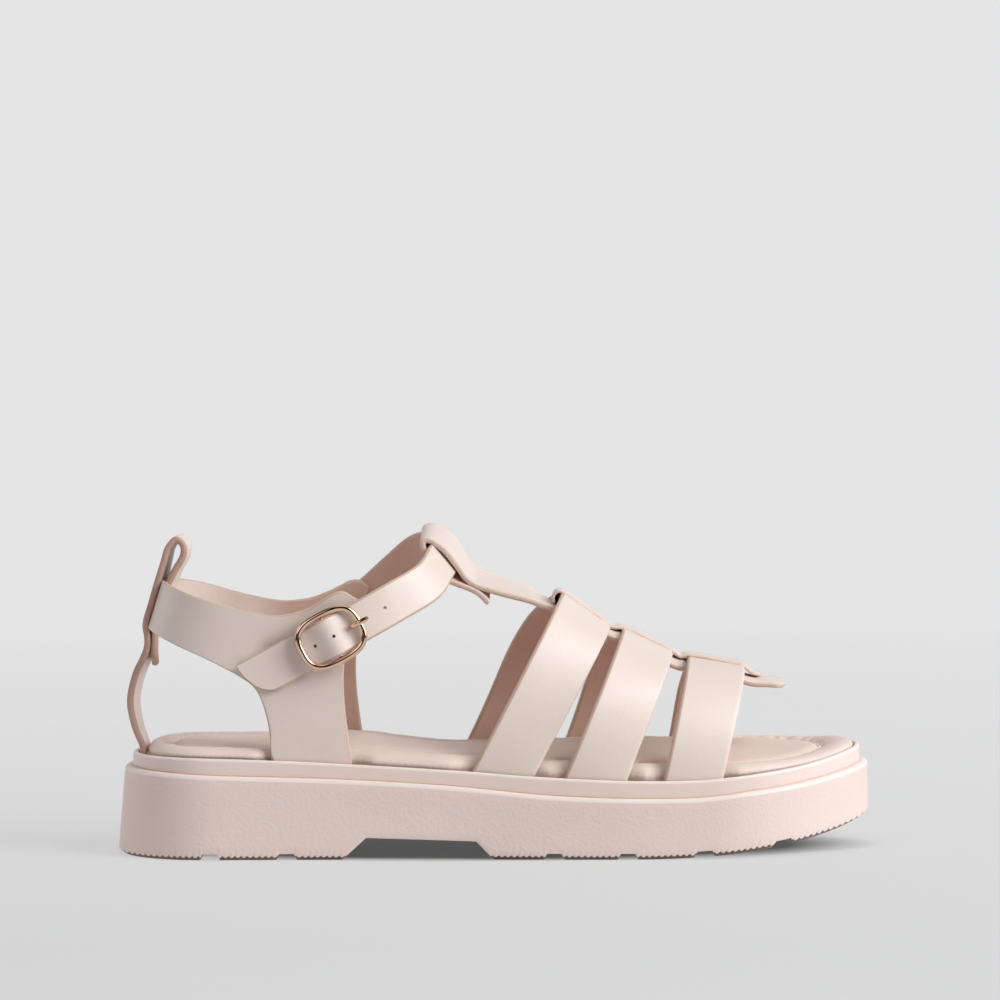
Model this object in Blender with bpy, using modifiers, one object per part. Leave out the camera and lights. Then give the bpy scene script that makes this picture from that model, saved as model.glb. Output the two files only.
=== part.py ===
"""Platform sandal for the right foot, toe along +X, medial side along +Y.

A grained outsole block with an arch recess and cross grooves carries a smooth
midsole tray. A padded insole lies in the tray and the strap feet stand in the
groove round it. The upper is one leather solid: three vamp straps, a middle
strap with a top band, a quarter round the heel, an ankle strap and a heel loop.
A centre-bar buckle with its own strap closes the ankle strap.
"""

import math

import bmesh
import bpy
import numpy as np

MM = 0.001
OBJECT_NAME = "platform_sandal"
# Fine samples for each even step of a path, and the distance that welds a tube's caps.
PATH_FINENESS = 12
WELD = 0.01

# Sole: one row for each station along the foot, in millimetres.
SOLE_COLUMNS = ("x", "centre", "half_width", "step", "rim")
SOLE_ROWS = (
    (-131.0, -6.7, 37.0, 30.2, 34.9),
    (-95.0, -6.7, 37.0, 28.7, 34.4),
    (-50.0, -5.9, 38.0, 27.2, 32.4),
    (-15.0, -3.9, 40.5, 25.0, 30.2),
    (20.0, -1.8, 45.0, 21.7, 27.7),
    (52.0, -0.6, 47.5, 20.6, 26.5),
    (72.0, 0.3, 47.5, 20.9, 26.7),
    (90.0, 1.9, 47.0, 22.8, 28.2),
    (108.0, 4.1, 46.0, 25.0, 30.4),
    (131.0, 6.7, 44.0, 29.2, 34.8),
)
HEEL_END_LENGTH = 36.0
HEEL_END_POWER = 2.2
TOE_END_LENGTH = 55.0
TOE_END_POWER = 2.2
STATIONS = 53
FINE_STATIONS = 241

# Toe spring of the tread.
SPRING_START = 45.0
SPRING_HEIGHT = 10.9
SPRING_POWER = 2.4

# Outsole block: its wall leans in from the floor, more at the heel than at the toe.
FLARE_HEEL = 2.6
FLARE_TOE = 0.4
EDGE_ROUND = 0.8
GROOVE_DEPTH = 2.1
GROOVE_TAPER = 1.2
# Cross grooves of the tread: middle and width at the floor.
TREAD_COLUMNS = ("x", "width")
TREAD_ROWS = (
    (-96.9, 7.4),
    (-70.5, 7.4),
    (21.0, 7.4),
    (46.2, 7.4),
    (72.4, 7.4),
    (99.6, 7.6),
)
ARCH_REAR_FLOOR = -51.5
ARCH_REAR_ROOF = -43.3
ARCH_FRONT_ROOF = -5.6
ARCH_FRONT_FLOOR = 0.4
ARCH_REAR_HEIGHT = 7.5
ARCH_FRONT_HEIGHT = 6.2
# Cutters start below the floor and reach past both sides of the sole.
CUT_BELOW = 3.0
CUT_HALF_DEPTH = 70.0

# Midsole tray.
JOINT_GAP = 0.3
RIM_INSET = 2.8
RIM_WALL = 1.8
FOOT_CHANNEL = 3.2
FOOT_CHANNEL_DEPTH = 2.4
PLATFORM_DROP = 0.4
INSOLE_GAP = 0.25

# Insole: inset from its own edge and height above the rim, edge to middle.
# Columns: inset, height.
INSOLE_ROWS = (
    (0.9, -0.1),
    (0.0, 1.3),
    (0.9, 3.0),
    (2.6, 4.0),
    (4.8, 4.3),
    (7.2, 3.8),
    (8.8, 2.7),
    (10.6, 3.9),
    (14.5, 4.6),
)

# Footbed border: share of its height on the lateral and the medial side, along the foot.
BORDER_COLUMNS = ("x", "lateral", "medial")
BORDER_ROWS = (
    (-131.0, 0.78, 1.0),
    (-90.0, 0.76, 1.03),
    (-66.0, 0.85, 1.3),
    (-47.0, 1.0, 1.55),
    (-33.0, 1.05, 1.27),
    (-17.0, 1.08, 1.08),
    (-4.0, 1.12, 1.25),
    (21.0, 1.22, 1.65),
    (57.0, 1.22, 1.9),
    (85.0, 0.9, 1.6),
    (100.0, 0.68, 1.25),
    (112.0, 0.66, 0.95),
    (131.0, 0.75, 0.85),
)
BORDER_BLEND = 60.0

# Leather.
LEATHER = 2.0
BAND_LEATHER = 1.2
HEEL_LEATHER = 2.3
MIDDLE_LEATHER = 1.7
HOLDER_LEATHER = 1.0

# Vamp straps: foot and top places along the foot, outer heights at the top.
# The medial half of each strap sets back little by little and bows to the rear;
# by its taper the lateral rear edge stands farther out, between foot and top, than the front edge.
VAMP_COLUMNS = (
    "foot_rear", "foot_front", "top_rear", "top_front", "height_rear", "height_front", "set_back",
    "bow", "taper",
)
VAMP_ROWS = (
    (-7.6, 13.9, 23.7, 40.7, 89.3, 77.1, 5.6, 2.4, 0.13),
    (24.2, 45.7, 44.9, 62.4, 76.6, 68.0, 2.7, 2.0, 0.13),
    (58.3, 78.8, 67.4, 87.5, 66.4, 62.8, -1.4, 1.0, 0.06),
)
VAMP_TURN = 22.0
VAMP_ROUNDNESS = 2.35
VAMP_STEPS = 26
VAMP_ACROSS = 3

# Middle strap, from its hidden tail over the ankle strap to the toe end: path, roll
# toward the lateral side and how far its side edges hang below its middle.
MIDDLE_WIDTH = 19.0
MIDDLE_STEPS = 62
MIDDLE_ACROSS = 8
CROWN_POWER = 4
# Columns: x, y, z, roll, crown.
MIDDLE_ROWS = (
    (-1.4, -1.8, 88.3, 18.0, 0.0),
    (-5.0, -2.0, 91.9, 19.0, 0.0),
    (-8.4, -2.3, 93.8, 20.0, 0.0),
    (-12.0, -2.7, 95.3, 21.0, 0.0),
    (-16.2, -3.0, 97.2, 21.0, 0.0),
    (-20.0, -3.0, 100.6, 19.0, 0.0),
    (-22.5, -3.0, 104.6, 15.0, 0.0),
    (-24.1, -3.0, 107.5, 13.0, 0.0),
    (-23.6, -3.0, 109.3, 13.0, 0.0),
    (-21.7, -3.0, 109.6, 14.5, 0.0),
    (-19.5, -3.0, 108.8, 17.0, 0.0),
    (-16.6, -3.0, 106.9, 19.5, 0.0),
    (-13.7, -3.0, 103.6, 21.0, 0.0),
    (-11.5, -2.8, 100.3, 19.5, 0.0),
    (-9.2, -2.5, 96.8, 18.0, 0.0),
    (-6.3, -2.2, 94.4, 17.0, 0.0),
    (-2.0, -1.8, 92.7, 15.5, 0.0),
    (2.7, -1.5, 91.0, 13.8, 0.0),
    (8.0, -1.1, 89.3, 11.6, 0.0),
    (13.0, -0.8, 87.5, 9.0, 0.0),
    (18.0, -0.5, 85.0, 4.5, 0.2),
    (25.0, 0.0, 83.0, 2.0, 1.6),
    (34.0, 0.5, 79.3, 0.0, 3.0),
    (41.5, 0.9, 74.8, 0.0, 3.2),
    (46.5, 1.2, 73.7, 0.0, 3.7),
    (54.0, 1.6, 69.5, 0.0, 3.2),
    (64.3, 2.1, 64.5, 0.0, 3.6),
    (72.0, 2.5, 63.4, 0.0, 3.4),
    (78.0, 2.8, 61.9, 0.0, 2.8),
    (90.0, 3.4, 57.9, 0.0, 2.4),
    (96.0, 3.7, 57.2, 0.0, 1.8),
    (102.0, 4.0, 56.0, 0.0, 0.6),
)

# Top band over the vamp straps.
BAND_WIDTH = 14.0
BAND_STEPS = 40
# Columns: x, y, z.
BAND_ROWS = (
    (21.2, -0.2, 85.2),
    (20.9, -0.1, 87.0),
    (21.5, 0.0, 88.4),
    (22.7, 0.0, 89.2),
    (24.2, 0.1, 88.9),
    (29.6, 0.2, 85.2),
    (37.0, 0.6, 79.9),
    (40.2, 0.8, 77.3),
    (41.9, 0.9, 76.4),
    (44.6, 1.1, 76.2),
    (49.3, 1.3, 74.7),
    (54.3, 1.6, 72.2),
    (59.2, 1.9, 69.7),
    (63.1, 2.1, 67.5),
    (65.1, 2.2, 66.0),
    (67.5, 2.3, 66.5),
    (71.9, 2.5, 66.0),
    (76.8, 2.7, 65.0),
    (82.7, 3.0, 63.8),
    (86.4, 3.2, 63.0),
    (88.4, 3.3, 61.6),
    (90.2, 3.4, 60.1),
    (93.4, 3.6, 59.4),
)

# Quarter, heel to front edge: top edge, lower edge and bow of the section.
# Columns: top x, top z, low x, low z, bow.
QUARTER_ROWS = (
    (-114.0, 94.3, -119.2, 77.7, 0.0),
    (-102.4, 90.2, -108.2, 72.8, 0.0),
    (-91.7, 86.9, -98.0, 68.4, 0.0),
    (-80.5, 84.2, -87.4, 62.8, 0.0),
    (-73.5, 83.4, -81.2, 58.0, 0.0),
    (-68.0, 84.2, -78.0, 50.5, 0.0),
    (-63.5, 85.7, -76.3, 42.0, 0.0),
    (-59.0, 88.2, -75.3, 32.7, 0.0),
    (-55.0, 90.6, -66.0, 32.0, 0.0),
    (-51.0, 91.5, -57.0, 31.2, -1.6),
    (-45.8, 88.6, -48.0, 30.7, -4.0),
)
# Medial side: how much higher its top edge is, and how far ahead it stands.
MEDIAL_COLUMNS = ("top_x", "rise", "ahead")
MEDIAL_ROWS = (
    (-114.0, 0.0, 0.0),
    (-102.4, 1.4, 0.0),
    (-88.0, 1.5, 0.0),
    (-78.0, 1.6, 0.0),
    (-70.0, 1.4, 0.0),
    (-62.0, 0.4, 0.0),
    (-55.0, -0.4, 0.6),
    (-51.0, 0.6, 1.1),
    (-48.0, 1.6, 1.4),
    (-45.8, 1.2, 1.6),
)
BOW_POWER = 1.2
# The side walls draw in from the sole to the ankle.
ANKLE_HALF = 27.6
ANKLE_HEIGHT = 92.0
ANKLE_DRAW_POWER = 0.8
HEEL_ARC_MIDDLE = -90.0
HEEL_ARC_POWER = 2.4
HEEL_BACK_Z = 78.0
HEEL_BACK_X = -119.2
HEEL_BACK_SLOPE = 0.32
QUARTER_STEPS = 22
QUARTER_CROWDING = 1.5
QUARTER_LEVELS = 6

# Heel loop, from the sole up the outside, over the top and down the inside.
HEEL_WIDTH = 18.0
HEEL_Y = -6.7
HEEL_ACROSS = 4
HEEL_STEPS = 50
# Path, curve across the strap and its turn toward the lateral side.
# Columns: x, z, curve, turn.
HEEL_ROWS = (
    (-122.2, 33.6, 0.6, 0.0),
    (-122.2, 36.4, 0.6, 0.0),
    (-124.6, 43.5, 0.6, 2.0),
    (-126.0, 52.5, 0.7, 4.0),
    (-123.9, 62.0, 0.8, 5.0),
    (-121.5, 67.0, 0.8, 5.0),
    (-119.9, 71.2, 0.8, 5.0),
    (-119.8, 75.0, 0.8, 5.0),
    (-120.3, 79.0, 0.8, 5.0),
    (-117.9, 87.4, 0.7, 5.0),
    (-115.8, 94.4, 0.7, 5.0),
    (-114.0, 100.8, 0.6, 2.5),
    (-112.4, 105.6, 0.4, 1.5),
    (-109.5, 108.5, 0.3, 1.5),
    (-107.1, 106.5, 0.3, 1.5),
    (-107.3, 102.9, 0.5, 1.5),
    (-110.0, 98.1, 0.6, 2.5),
    (-112.4, 93.1, 0.7, 4.0),
    (-114.2, 86.8, 0.7, 4.0),
    (-117.4, 77.8, 0.6, 2.0),
    (-118.2, 71.0, 0.5, 1.0),
    (-117.8, 64.6, 0.4, 1.0),
)

# Buckle place on the lateral side and the direction of its strap.
BUCKLE_X = -55.0
BUCKLE_Z = 75.8
BUCKLE_RISE = 28.0
STRAP_WIDTH = 14.0
ANKLE_STEPS = 54
SLOPE_REACH = 6.0

# Ankle strap through the buckle, tip first: place along and distance out from
# the quarter's outer face.
# Columns: along, out.
ANKLE_TIP_ROWS = (
    (-13.2, 2.7),
    (-6.7, 2.9),
    (0.0, 5.7),
    (6.4, 2.9),
    (11.6, 2.1),
)
# The rest of the ankle strap to its sewn end: upper and lower edge of each section.
# Columns: top x, top y, top z, low x, low y, low z.
ANKLE_ROWS = (
    (-36.6, -32.8, 93.8, -29.9, -32.2, 81.4),
    (-25.8, -24.4, 99.9, -18.4, -24.0, 88.2),
    (-22.2, -13.6, 105.2, -13.9, -13.6, 94.6),
    (-21.5, -3.4, 107.3, -12.9, -3.4, 96.7),
    (-24.3, 6.4, 109.6, -15.9, 7.0, 97.9),
    (-30.4, 14.6, 107.3, -23.0, 15.4, 94.4),
    (-38.6, 20.0, 100.3, -31.6, 21.0, 87.6),
    (-47.3, 23.5, 92.4, -40.3, 24.4, 80.5),
    (-55.0, 23.5, 86.8, -48.2, 24.1, 74.8),
)

# Buckle strap, rear end to the loop round the bar: place along the strap and
# distance out from the quarter's outer face. The rear end is cut at a slant and bulges.
HOLDER_SLANT = 0.44
HOLDER_SLANT_START = 12.0
HOLDER_SLANT_RUN = 19.0
HOLDER_END_BULGE = 1.6
HOLDER_ACROSS = 6
HOLDER_STEPS = 40
# Columns: along, out.
HOLDER_ROWS = (
    (-30.4, 1.32),
    (-20.0, 1.04),
    (-12.0, 0.92),
    (-5.0, 0.84),
    (-1.6, 0.8),
    (0.0, 0.8),
    (1.1, 1.3),
    (1.5, 2.3),
    (1.1, 3.3),
    (0.0, 3.8),
    (-1.1, 3.4),
)

# Buckle frame: rounded oval ring with a bar set behind it.
FRAME_HALF_LENGTH = 11.0
FRAME_HALF_HEIGHT = 8.6
FRAME_POWER = 2.9
FRAME_WIRE = 1.1
FRAME_OUT = 5.15
BAR_WIRE = 0.7
BAR_OUT = 2.3
BAR_RUN_IN = 1.2
FRAME_STEPS = 36
WIRE_SIDES = 8

# Prong: sleeve round the bar and tongue to the frame.
PRONG_WIRE = 0.8
PRONG_STEPS = 9
SLEEVE_WALL = 0.7
SLEEVE_END_GAP = 0.4
SLEEVE_SIDES = 16
# Slot for the prong in the loop of the buckle strap: width, and low and high corner along and out.
PRONG_SLOT = 3.4
SLOT_ALONG = (-3.0, 8.0)
SLOT_OUT = (0.2, 8.0)
# Columns: along, out.
PRONG_ROWS = (
    (1.2, 1.9),
    (4.4, 1.6),
    (6.4, 2.2),
    (7.7, 3.7),
    (9.0, 6.3),
    (10.6, 7.4),
    (13.8, 7.4),
)
PRONG_CLEARANCE = 0.4


def column(rows, columns, name):
    return np.array([row[columns.index(name)] for row in rows], float)


def smooth(xs, ys, x):
    """Curve through table rows with matching slopes at each row."""
    xs = np.asarray(xs, float)
    ys = np.asarray(ys, float)
    x = np.atleast_1d(np.asarray(x, float))
    slope = np.gradient(ys, xs, axis=0)
    i = np.clip(np.searchsorted(xs, x) - 1, 0, len(xs) - 2)
    span = xs[i + 1] - xs[i]
    t = np.clip((x - xs[i]) / span, 0.0, 1.0)
    if ys.ndim > 1:
        t = t[:, None]
        span = span[:, None]
    start = (2 * t**3 - 3 * t**2 + 1) * ys[i] + (t**3 - 2 * t**2 + t) * span * slope[i]
    end = (3 * t**2 - 2 * t**3) * ys[i + 1] + (t**3 - t**2) * span * slope[i + 1]
    return start + end


def path(points, steps):
    """Even samples of a smooth path through the given points."""
    points = np.asarray(points, float)
    gaps = np.linalg.norm(np.diff(points, axis=0), axis=1)
    along = np.concatenate(([0.0], np.cumsum(np.sqrt(gaps))))
    dense = smooth(along, points, np.linspace(0.0, along[-1], steps * PATH_FINENESS))
    run = np.concatenate(([0.0], np.cumsum(np.linalg.norm(np.diff(dense, axis=0), axis=1))))
    even = np.linspace(0.0, run[-1], steps)
    return np.stack([np.interp(even, run, dense[:, k]) for k in range(dense.shape[1])], 1)


def sole_value(name, x):
    return smooth(column(SOLE_ROWS, SOLE_COLUMNS, "x"), column(SOLE_ROWS, SOLE_COLUMNS, name), x)


def sole_length():
    x = column(SOLE_ROWS, SOLE_COLUMNS, "x")
    return x[0], x[-1]


def half_width(x):
    heel, toe = sole_length()
    into_heel = np.clip((heel + HEEL_END_LENGTH - x) / HEEL_END_LENGTH, 0.0, 1.0)
    into_toe = np.clip((x - toe + TOE_END_LENGTH) / TOE_END_LENGTH, 0.0, 1.0)
    heel_round = (1 - into_heel**HEEL_END_POWER) ** (1 / HEEL_END_POWER)
    toe_round = (1 - into_toe**TOE_END_POWER) ** (1 / TOE_END_POWER)
    return sole_value("half_width", x) * heel_round * toe_round


def flare(x):
    heel, toe = sole_length()
    return FLARE_HEEL + (FLARE_TOE - FLARE_HEEL) * (x - heel) / (toe - heel)


def outline(inset, lean=1.0, count=STATIONS):
    """Closed plan outline, heel tip, lateral side, toe tip, medial side."""
    heel, toe = sole_length()
    x = heel + (toe - heel) * (1 - np.cos(np.linspace(0.0, math.pi, count))) / 2
    half = half_width(x)
    centre = sole_value("centre", x)
    lateral = np.stack([x, centre - half], 1)
    medial = np.stack([x, centre + half], 1)
    loop = np.concatenate([lateral, medial[-2:0:-1]])
    tangent = np.roll(loop, -1, axis=0) - np.roll(loop, 1, axis=0)
    tangent /= np.linalg.norm(tangent, axis=1)[:, None]
    inward = np.stack([-tangent[:, 1], tangent[:, 0]], 1)
    return loop + (inset + lean * flare(loop[:, 0]))[:, None] * inward


def channel_sides(x):
    """Lateral and medial middle of the strap channel at places along the foot."""
    loop = outline(RIM_INSET + RIM_WALL + FOOT_CHANNEL / 2, count=FINE_STATIONS)
    lateral = loop[:FINE_STATIONS]
    medial = np.concatenate([loop[FINE_STATIONS - 1:], loop[:1]])[::-1]
    y_lateral = np.interp(x, lateral[:, 0], lateral[:, 1])
    y_medial = np.interp(x, medial[:, 0], medial[:, 1])
    return y_lateral, y_medial


def tread_height(x):
    share = np.clip((x - SPRING_START) / (sole_length()[1] - SPRING_START), 0.0, 1.0)
    return SPRING_HEIGHT * share**SPRING_POWER


def new_object(name, vertices, faces, collection):
    mesh = bpy.data.meshes.new(name)
    mesh.from_pydata([tuple(v * MM for v in p) for p in vertices], [], faces)
    work = bmesh.new()
    work.from_mesh(mesh)
    bmesh.ops.recalc_face_normals(work, faces=work.faces)
    work.to_mesh(mesh)
    work.free()
    item = bpy.data.objects.new(name, mesh)
    collection.objects.link(item)
    return item


def ring_solid(name, rings, collection):
    """Closed body from stacked rings, with cross strips as its two ends."""
    size = len(rings[0])
    last = size // 2
    vertices = [tuple(p) for ring in rings for p in ring]
    faces = []
    for level in range(len(rings) - 1):
        for i in range(size):
            j = (i + 1) % size
            low = level * size
            faces.append((low + i, low + j, low + size + j, low + size + i))
    for base in (0, (len(rings) - 1) * size):
        faces.append((base, base + 1, base + size - 1))
        for i in range(1, last - 1):
            faces.append((base + i, base + i + 1, base + size - i - 1, base + size - i))
        faces.append((base + last - 1, base + last, base + last + 1))
    return new_object(name, vertices, faces, collection)


def level_ring(inset, heights, lean=1.0):
    """Ring at an inset, its height worked out from each point's place."""
    loop = outline(inset, lean)
    return np.column_stack([loop, heights(loop[:, 0])])


def sheet(name, grid, thickness, collection):
    """Thin solid from a grid of points on its middle surface."""
    rows, cols = grid.shape[:2]
    faces = []
    for i in range(rows - 1):
        for j in range(cols - 1):
            a = i * cols + j
            faces.append((a, a + 1, a + cols + 1, a + cols))
    item = new_object(name, grid.reshape(-1, 3), faces, collection)
    wall = item.modifiers.new("wall", "SOLIDIFY")
    wall.thickness = thickness * MM
    wall.offset = 0.0
    wall.use_even_offset = True
    return item


def tube(name, points, radius, closed, collection):
    """Round bar along a path, as a curve with a round bevel made into a mesh."""
    curve = bpy.data.curves.new(name, "CURVE")
    curve.dimensions = "3D"
    curve.bevel_depth = radius * MM
    curve.bevel_resolution = (WIRE_SIDES - 4) // 2
    curve.use_fill_caps = True
    spline = curve.splines.new("POLY")
    spline.points.add(len(points) - 1)
    for place, p in zip(spline.points, points):
        place.co = (p[0] * MM, p[1] * MM, p[2] * MM, 1.0)
    spline.use_cyclic_u = closed
    helper = bpy.data.objects.new(name + "_path", curve)
    collection.objects.link(helper)
    bpy.context.view_layer.update()
    graph = bpy.context.evaluated_depsgraph_get()
    mesh = bpy.data.meshes.new_from_object(helper.evaluated_get(graph))
    bpy.data.objects.remove(helper)
    work = bmesh.new()
    work.from_mesh(mesh)
    bmesh.ops.remove_doubles(work, verts=work.verts, dist=WELD * MM)
    bmesh.ops.recalc_face_normals(work, faces=work.faces)
    work.to_mesh(mesh)
    work.free()
    item = bpy.data.objects.new(name, mesh)
    collection.objects.link(item)
    return item


def prism(name, profile, collection):
    """Bar of constant side profile across the foot."""
    count = len(profile)
    near = [(x, -CUT_HALF_DEPTH, z) for x, z in profile]
    far = [(x, CUT_HALF_DEPTH, z) for x, z in profile]
    faces = [tuple(range(count)), tuple(range(2 * count - 1, count - 1, -1))]
    for i in range(count):
        j = (i + 1) % count
        faces.append((i, i + count, j + count, j))
    return new_object(name, near + far, faces, collection)


def boolean(item, other, operation):
    step = item.modifiers.new(operation.lower() + "_" + other.name, "BOOLEAN")
    step.operation = operation
    step.solver = "EXACT"
    step.object = other


def vamp_grid(row):
    spec = dict(zip(VAMP_COLUMNS, row))
    angle = np.linspace(0.0, math.pi, VAMP_STEPS)
    side = np.sign(np.cos(angle)) * np.abs(np.cos(angle)) ** (2 / VAMP_ROUNDNESS)
    rise = np.abs(np.sin(angle)) ** (2 / VAMP_ROUNDNESS)
    lines = []
    for share in np.linspace(0.0, 1.0, VAMP_ACROSS + 1):
        foot_x = spec["foot_rear"] + (spec["foot_front"] - spec["foot_rear"]) * share
        top_x = spec["top_rear"] + (spec["top_front"] - spec["top_rear"]) * share
        top_z = spec["height_rear"] + (spec["height_front"] - spec["height_rear"]) * share
        foot_z = float(sole_value("rim", foot_x)[0]) - FOOT_CHANNEL_DEPTH + JOINT_GAP + LEATHER / 2
        lateral = channel_sides(foot_x)[0]
        medial = channel_sides(foot_x - spec["set_back"])[1]
        middle = (lateral + medial) / 2
        half = (medial - lateral) / 2
        draw = 1 - spec["taper"] * (share - 0.5) * 4 * rise * (1 - rise) * (side > 0)
        y = middle - half * side * draw
        share_over = np.clip(-half * side / VAMP_TURN, 0.0, 1.0)
        turn = share_over**2 * (3 - 2 * share_over)
        back = spec["set_back"] * turn + spec["bow"] * np.sin(math.pi * np.maximum(-side, 0.0) ** 3)
        x = foot_x + (top_x - foot_x) * rise - back
        z = foot_z + (top_z - LEATHER / 2 - foot_z) * rise
        lines.append(np.stack([x, y, z], 1))
    return np.stack(lines, 1)


def quarter_y(x, z, side):
    """Lateral or medial wall of the quarter at a place on its side view."""
    ledge = float(sole_value("rim", HEEL_ARC_MIDDLE)[0])
    share = np.clip((z - ledge) / (ANKLE_HEIGHT - ledge), 0.0, 1.0) ** ANKLE_DRAW_POWER
    inner = np.maximum(x, HEEL_ARC_MIDDLE)
    lateral, medial = channel_sides(inner)
    centre = sole_value("centre", inner)
    foot = np.where(side < 0, centre - lateral, medial - centre)
    half = foot + (ANKLE_HALF - foot) * share
    back = HEEL_BACK_X + (z - HEEL_BACK_Z) * HEEL_BACK_SLOPE
    into = np.clip((HEEL_ARC_MIDDLE - x) / (HEEL_ARC_MIDDLE - back), 0.0, 1.0)
    close = (1 - into**HEEL_ARC_POWER) ** (1 / HEEL_ARC_POWER)
    return centre + side * half * close


def medial_change(top_x):
    """How far the medial wall's top stands higher and the wall stands ahead."""
    place = column(MEDIAL_ROWS, MEDIAL_COLUMNS, "top_x")
    rise = smooth(place, column(MEDIAL_ROWS, MEDIAL_COLUMNS, "rise"), top_x)[0]
    ahead = smooth(place, column(MEDIAL_ROWS, MEDIAL_COLUMNS, "ahead"), top_x)[0]
    return rise, ahead


def quarter_grid():
    rows = np.array(QUARTER_ROWS, float)
    place = np.linspace(0.0, 1.0, len(rows))
    halves = []
    for side in (-1.0, 1.0):
        sections = smooth(place, rows, np.linspace(0.0, 1.0, QUARTER_STEPS) ** QUARTER_CROWDING)
        lines = []
        for top_x, top_z, low_x, low_z, bow in sections:
            share = np.linspace(0.0, 1.0, QUARTER_LEVELS + 1)
            rise, ahead = medial_change(top_x) if side > 0 else (0.0, 0.0)
            x = low_x + (top_x - low_x) * share + bow * np.sin(math.pi * share**BOW_POWER) + ahead
            z = low_z + (top_z - low_z) * share + rise * share
            lines.append(np.stack([x, quarter_y(x, z, side), z], 1))
        halves.append(np.array(lines))
    lateral, medial = halves
    return np.concatenate([lateral[::-1], medial[1:]])


def middle_grid():
    rows = path(MIDDLE_ROWS, MIDDLE_STEPS)
    roll = np.radians(rows[:, 3])
    lines = []
    for share in np.linspace(-1.0, 1.0, MIDDLE_ACROSS + 1):
        reach = share * MIDDLE_WIDTH / 2
        y = rows[:, 1] + reach * np.cos(roll)
        z = rows[:, 2] + reach * np.sin(roll) - rows[:, 4] * share**CROWN_POWER
        lines.append(np.stack([rows[:, 0], y, z], 1))
    return np.stack(lines, 1)


def band_grid():
    rows = path(BAND_ROWS, BAND_STEPS)
    reach = np.array((0.0, BAND_WIDTH / 2, 0.0))
    return np.stack([rows - reach, rows + reach], 1)


def heel_grid():
    rows = path(HEEL_ROWS, HEEL_STEPS)
    turn = np.radians(rows[:, 3])
    lines = []
    for share in np.linspace(-1.0, 1.0, HEEL_ACROSS + 1):
        reach = share * HEEL_WIDTH / 2
        x = rows[:, 0] + rows[:, 2] * share**2 + reach * np.sin(turn)
        y = HEEL_Y + reach * np.cos(turn)
        lines.append(np.stack([x, y, rows[:, 1]], 1))
    return np.stack(lines, 1)


def ankle_grid():
    half = STRAP_WIDTH / 2
    tip = []
    for along, out in ANKLE_TIP_ROWS:
        tip.append(np.concatenate([buckle_point(along, half, out), buckle_point(along, -half, out)]))
    rows = path(np.concatenate([np.array(tip), np.array(ANKLE_ROWS, float)]), ANKLE_STEPS)
    return np.stack([rows[:, :3], rows[:, 3:]], 1)


def buckle_axes():
    """Place on the quarter's outer face and the axes along, up and out from it."""
    here = quarter_y(np.array([BUCKLE_X]), np.array([BUCKLE_Z]), -1.0)[0]
    ahead = quarter_y(np.array([BUCKLE_X + SLOPE_REACH]), np.array([BUCKLE_Z]), -1.0)[0]
    above = quarter_y(np.array([BUCKLE_X]), np.array([BUCKLE_Z + SLOPE_REACH]), -1.0)[0]
    out = np.array(((ahead - here) / SLOPE_REACH, -1.0, (above - here) / SLOPE_REACH))
    out /= np.linalg.norm(out)
    rise = math.radians(BUCKLE_RISE)
    along = np.array((math.cos(rise), 0.0, math.sin(rise)))
    along -= out * (along @ out)
    along /= np.linalg.norm(along)
    up = np.cross(out, along)
    base = np.array((BUCKLE_X, here, BUCKLE_Z)) + out * LEATHER / 2
    return base, along, up, out


def buckle_point(along, up, out):
    base, *axes = buckle_axes()
    return base + along * axes[0] + up * axes[1] + out * axes[2]


def holder_grid():
    rows = path(HOLDER_ROWS, HOLDER_STEPS)
    lines = []
    half = STRAP_WIDTH / 2
    for up in np.linspace(half, -half, HOLDER_ACROSS + 1):
        points = []
        for along, out in rows:
            share = min(max((-along - HOLDER_SLANT_START) / HOLDER_SLANT_RUN, 0.0), 1.0)
            slant = HOLDER_SLANT * up + HOLDER_END_BULGE * (1 - (up / half) ** 2)
            points.append(buckle_point(along - slant * share, up, out))
        lines.append(points)
    return np.stack(lines, 1)


def frame_ring():
    angle = np.linspace(0.0, 2 * math.pi, FRAME_STEPS, endpoint=False)
    a = np.sign(np.cos(angle)) * np.abs(np.cos(angle)) ** (2 / FRAME_POWER) * FRAME_HALF_LENGTH
    b = np.sign(np.sin(angle)) * np.abs(np.sin(angle)) ** (2 / FRAME_POWER) * FRAME_HALF_HEIGHT
    return [buckle_point(x, y, FRAME_OUT) for x, y in zip(a, b)]


def frame_bar():
    top = FRAME_HALF_HEIGHT
    flat = top - BAR_RUN_IN
    rows = ((-top, FRAME_OUT), (-flat, BAR_OUT), (flat, BAR_OUT), (top, FRAME_OUT))
    return [buckle_point(0.0, up, out) for up, out in rows]


def prong_path():
    rows = path(PRONG_ROWS, PRONG_STEPS)
    return [buckle_point(a, 0.0, o) for a, o in rows]


def sleeve(name, collection):
    """Short tube round the buckle's bar."""
    inner = BAR_WIRE + JOINT_GAP
    outer = inner + SLEEVE_WALL
    half = PRONG_SLOT / 2 - SLEEVE_END_GAP
    sides = SLEEVE_SIDES
    vertices = []
    for up, radius in ((-half, outer), (half, outer), (half, inner), (-half, inner)):
        for k in range(sides):
            angle = 2 * math.pi * k / sides
            a = radius * math.cos(angle)
            o = BAR_OUT + radius * math.sin(angle)
            vertices.append(tuple(buckle_point(a, up, o)))
    faces = []
    for ring in range(4):
        following = (ring + 1) % 4
        for k in range(sides):
            n = (k + 1) % sides
            near = ring * sides
            far = following * sides
            faces.append((near + k, near + n, far + n, far + k))
    return new_object(name, vertices, faces, collection)


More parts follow.
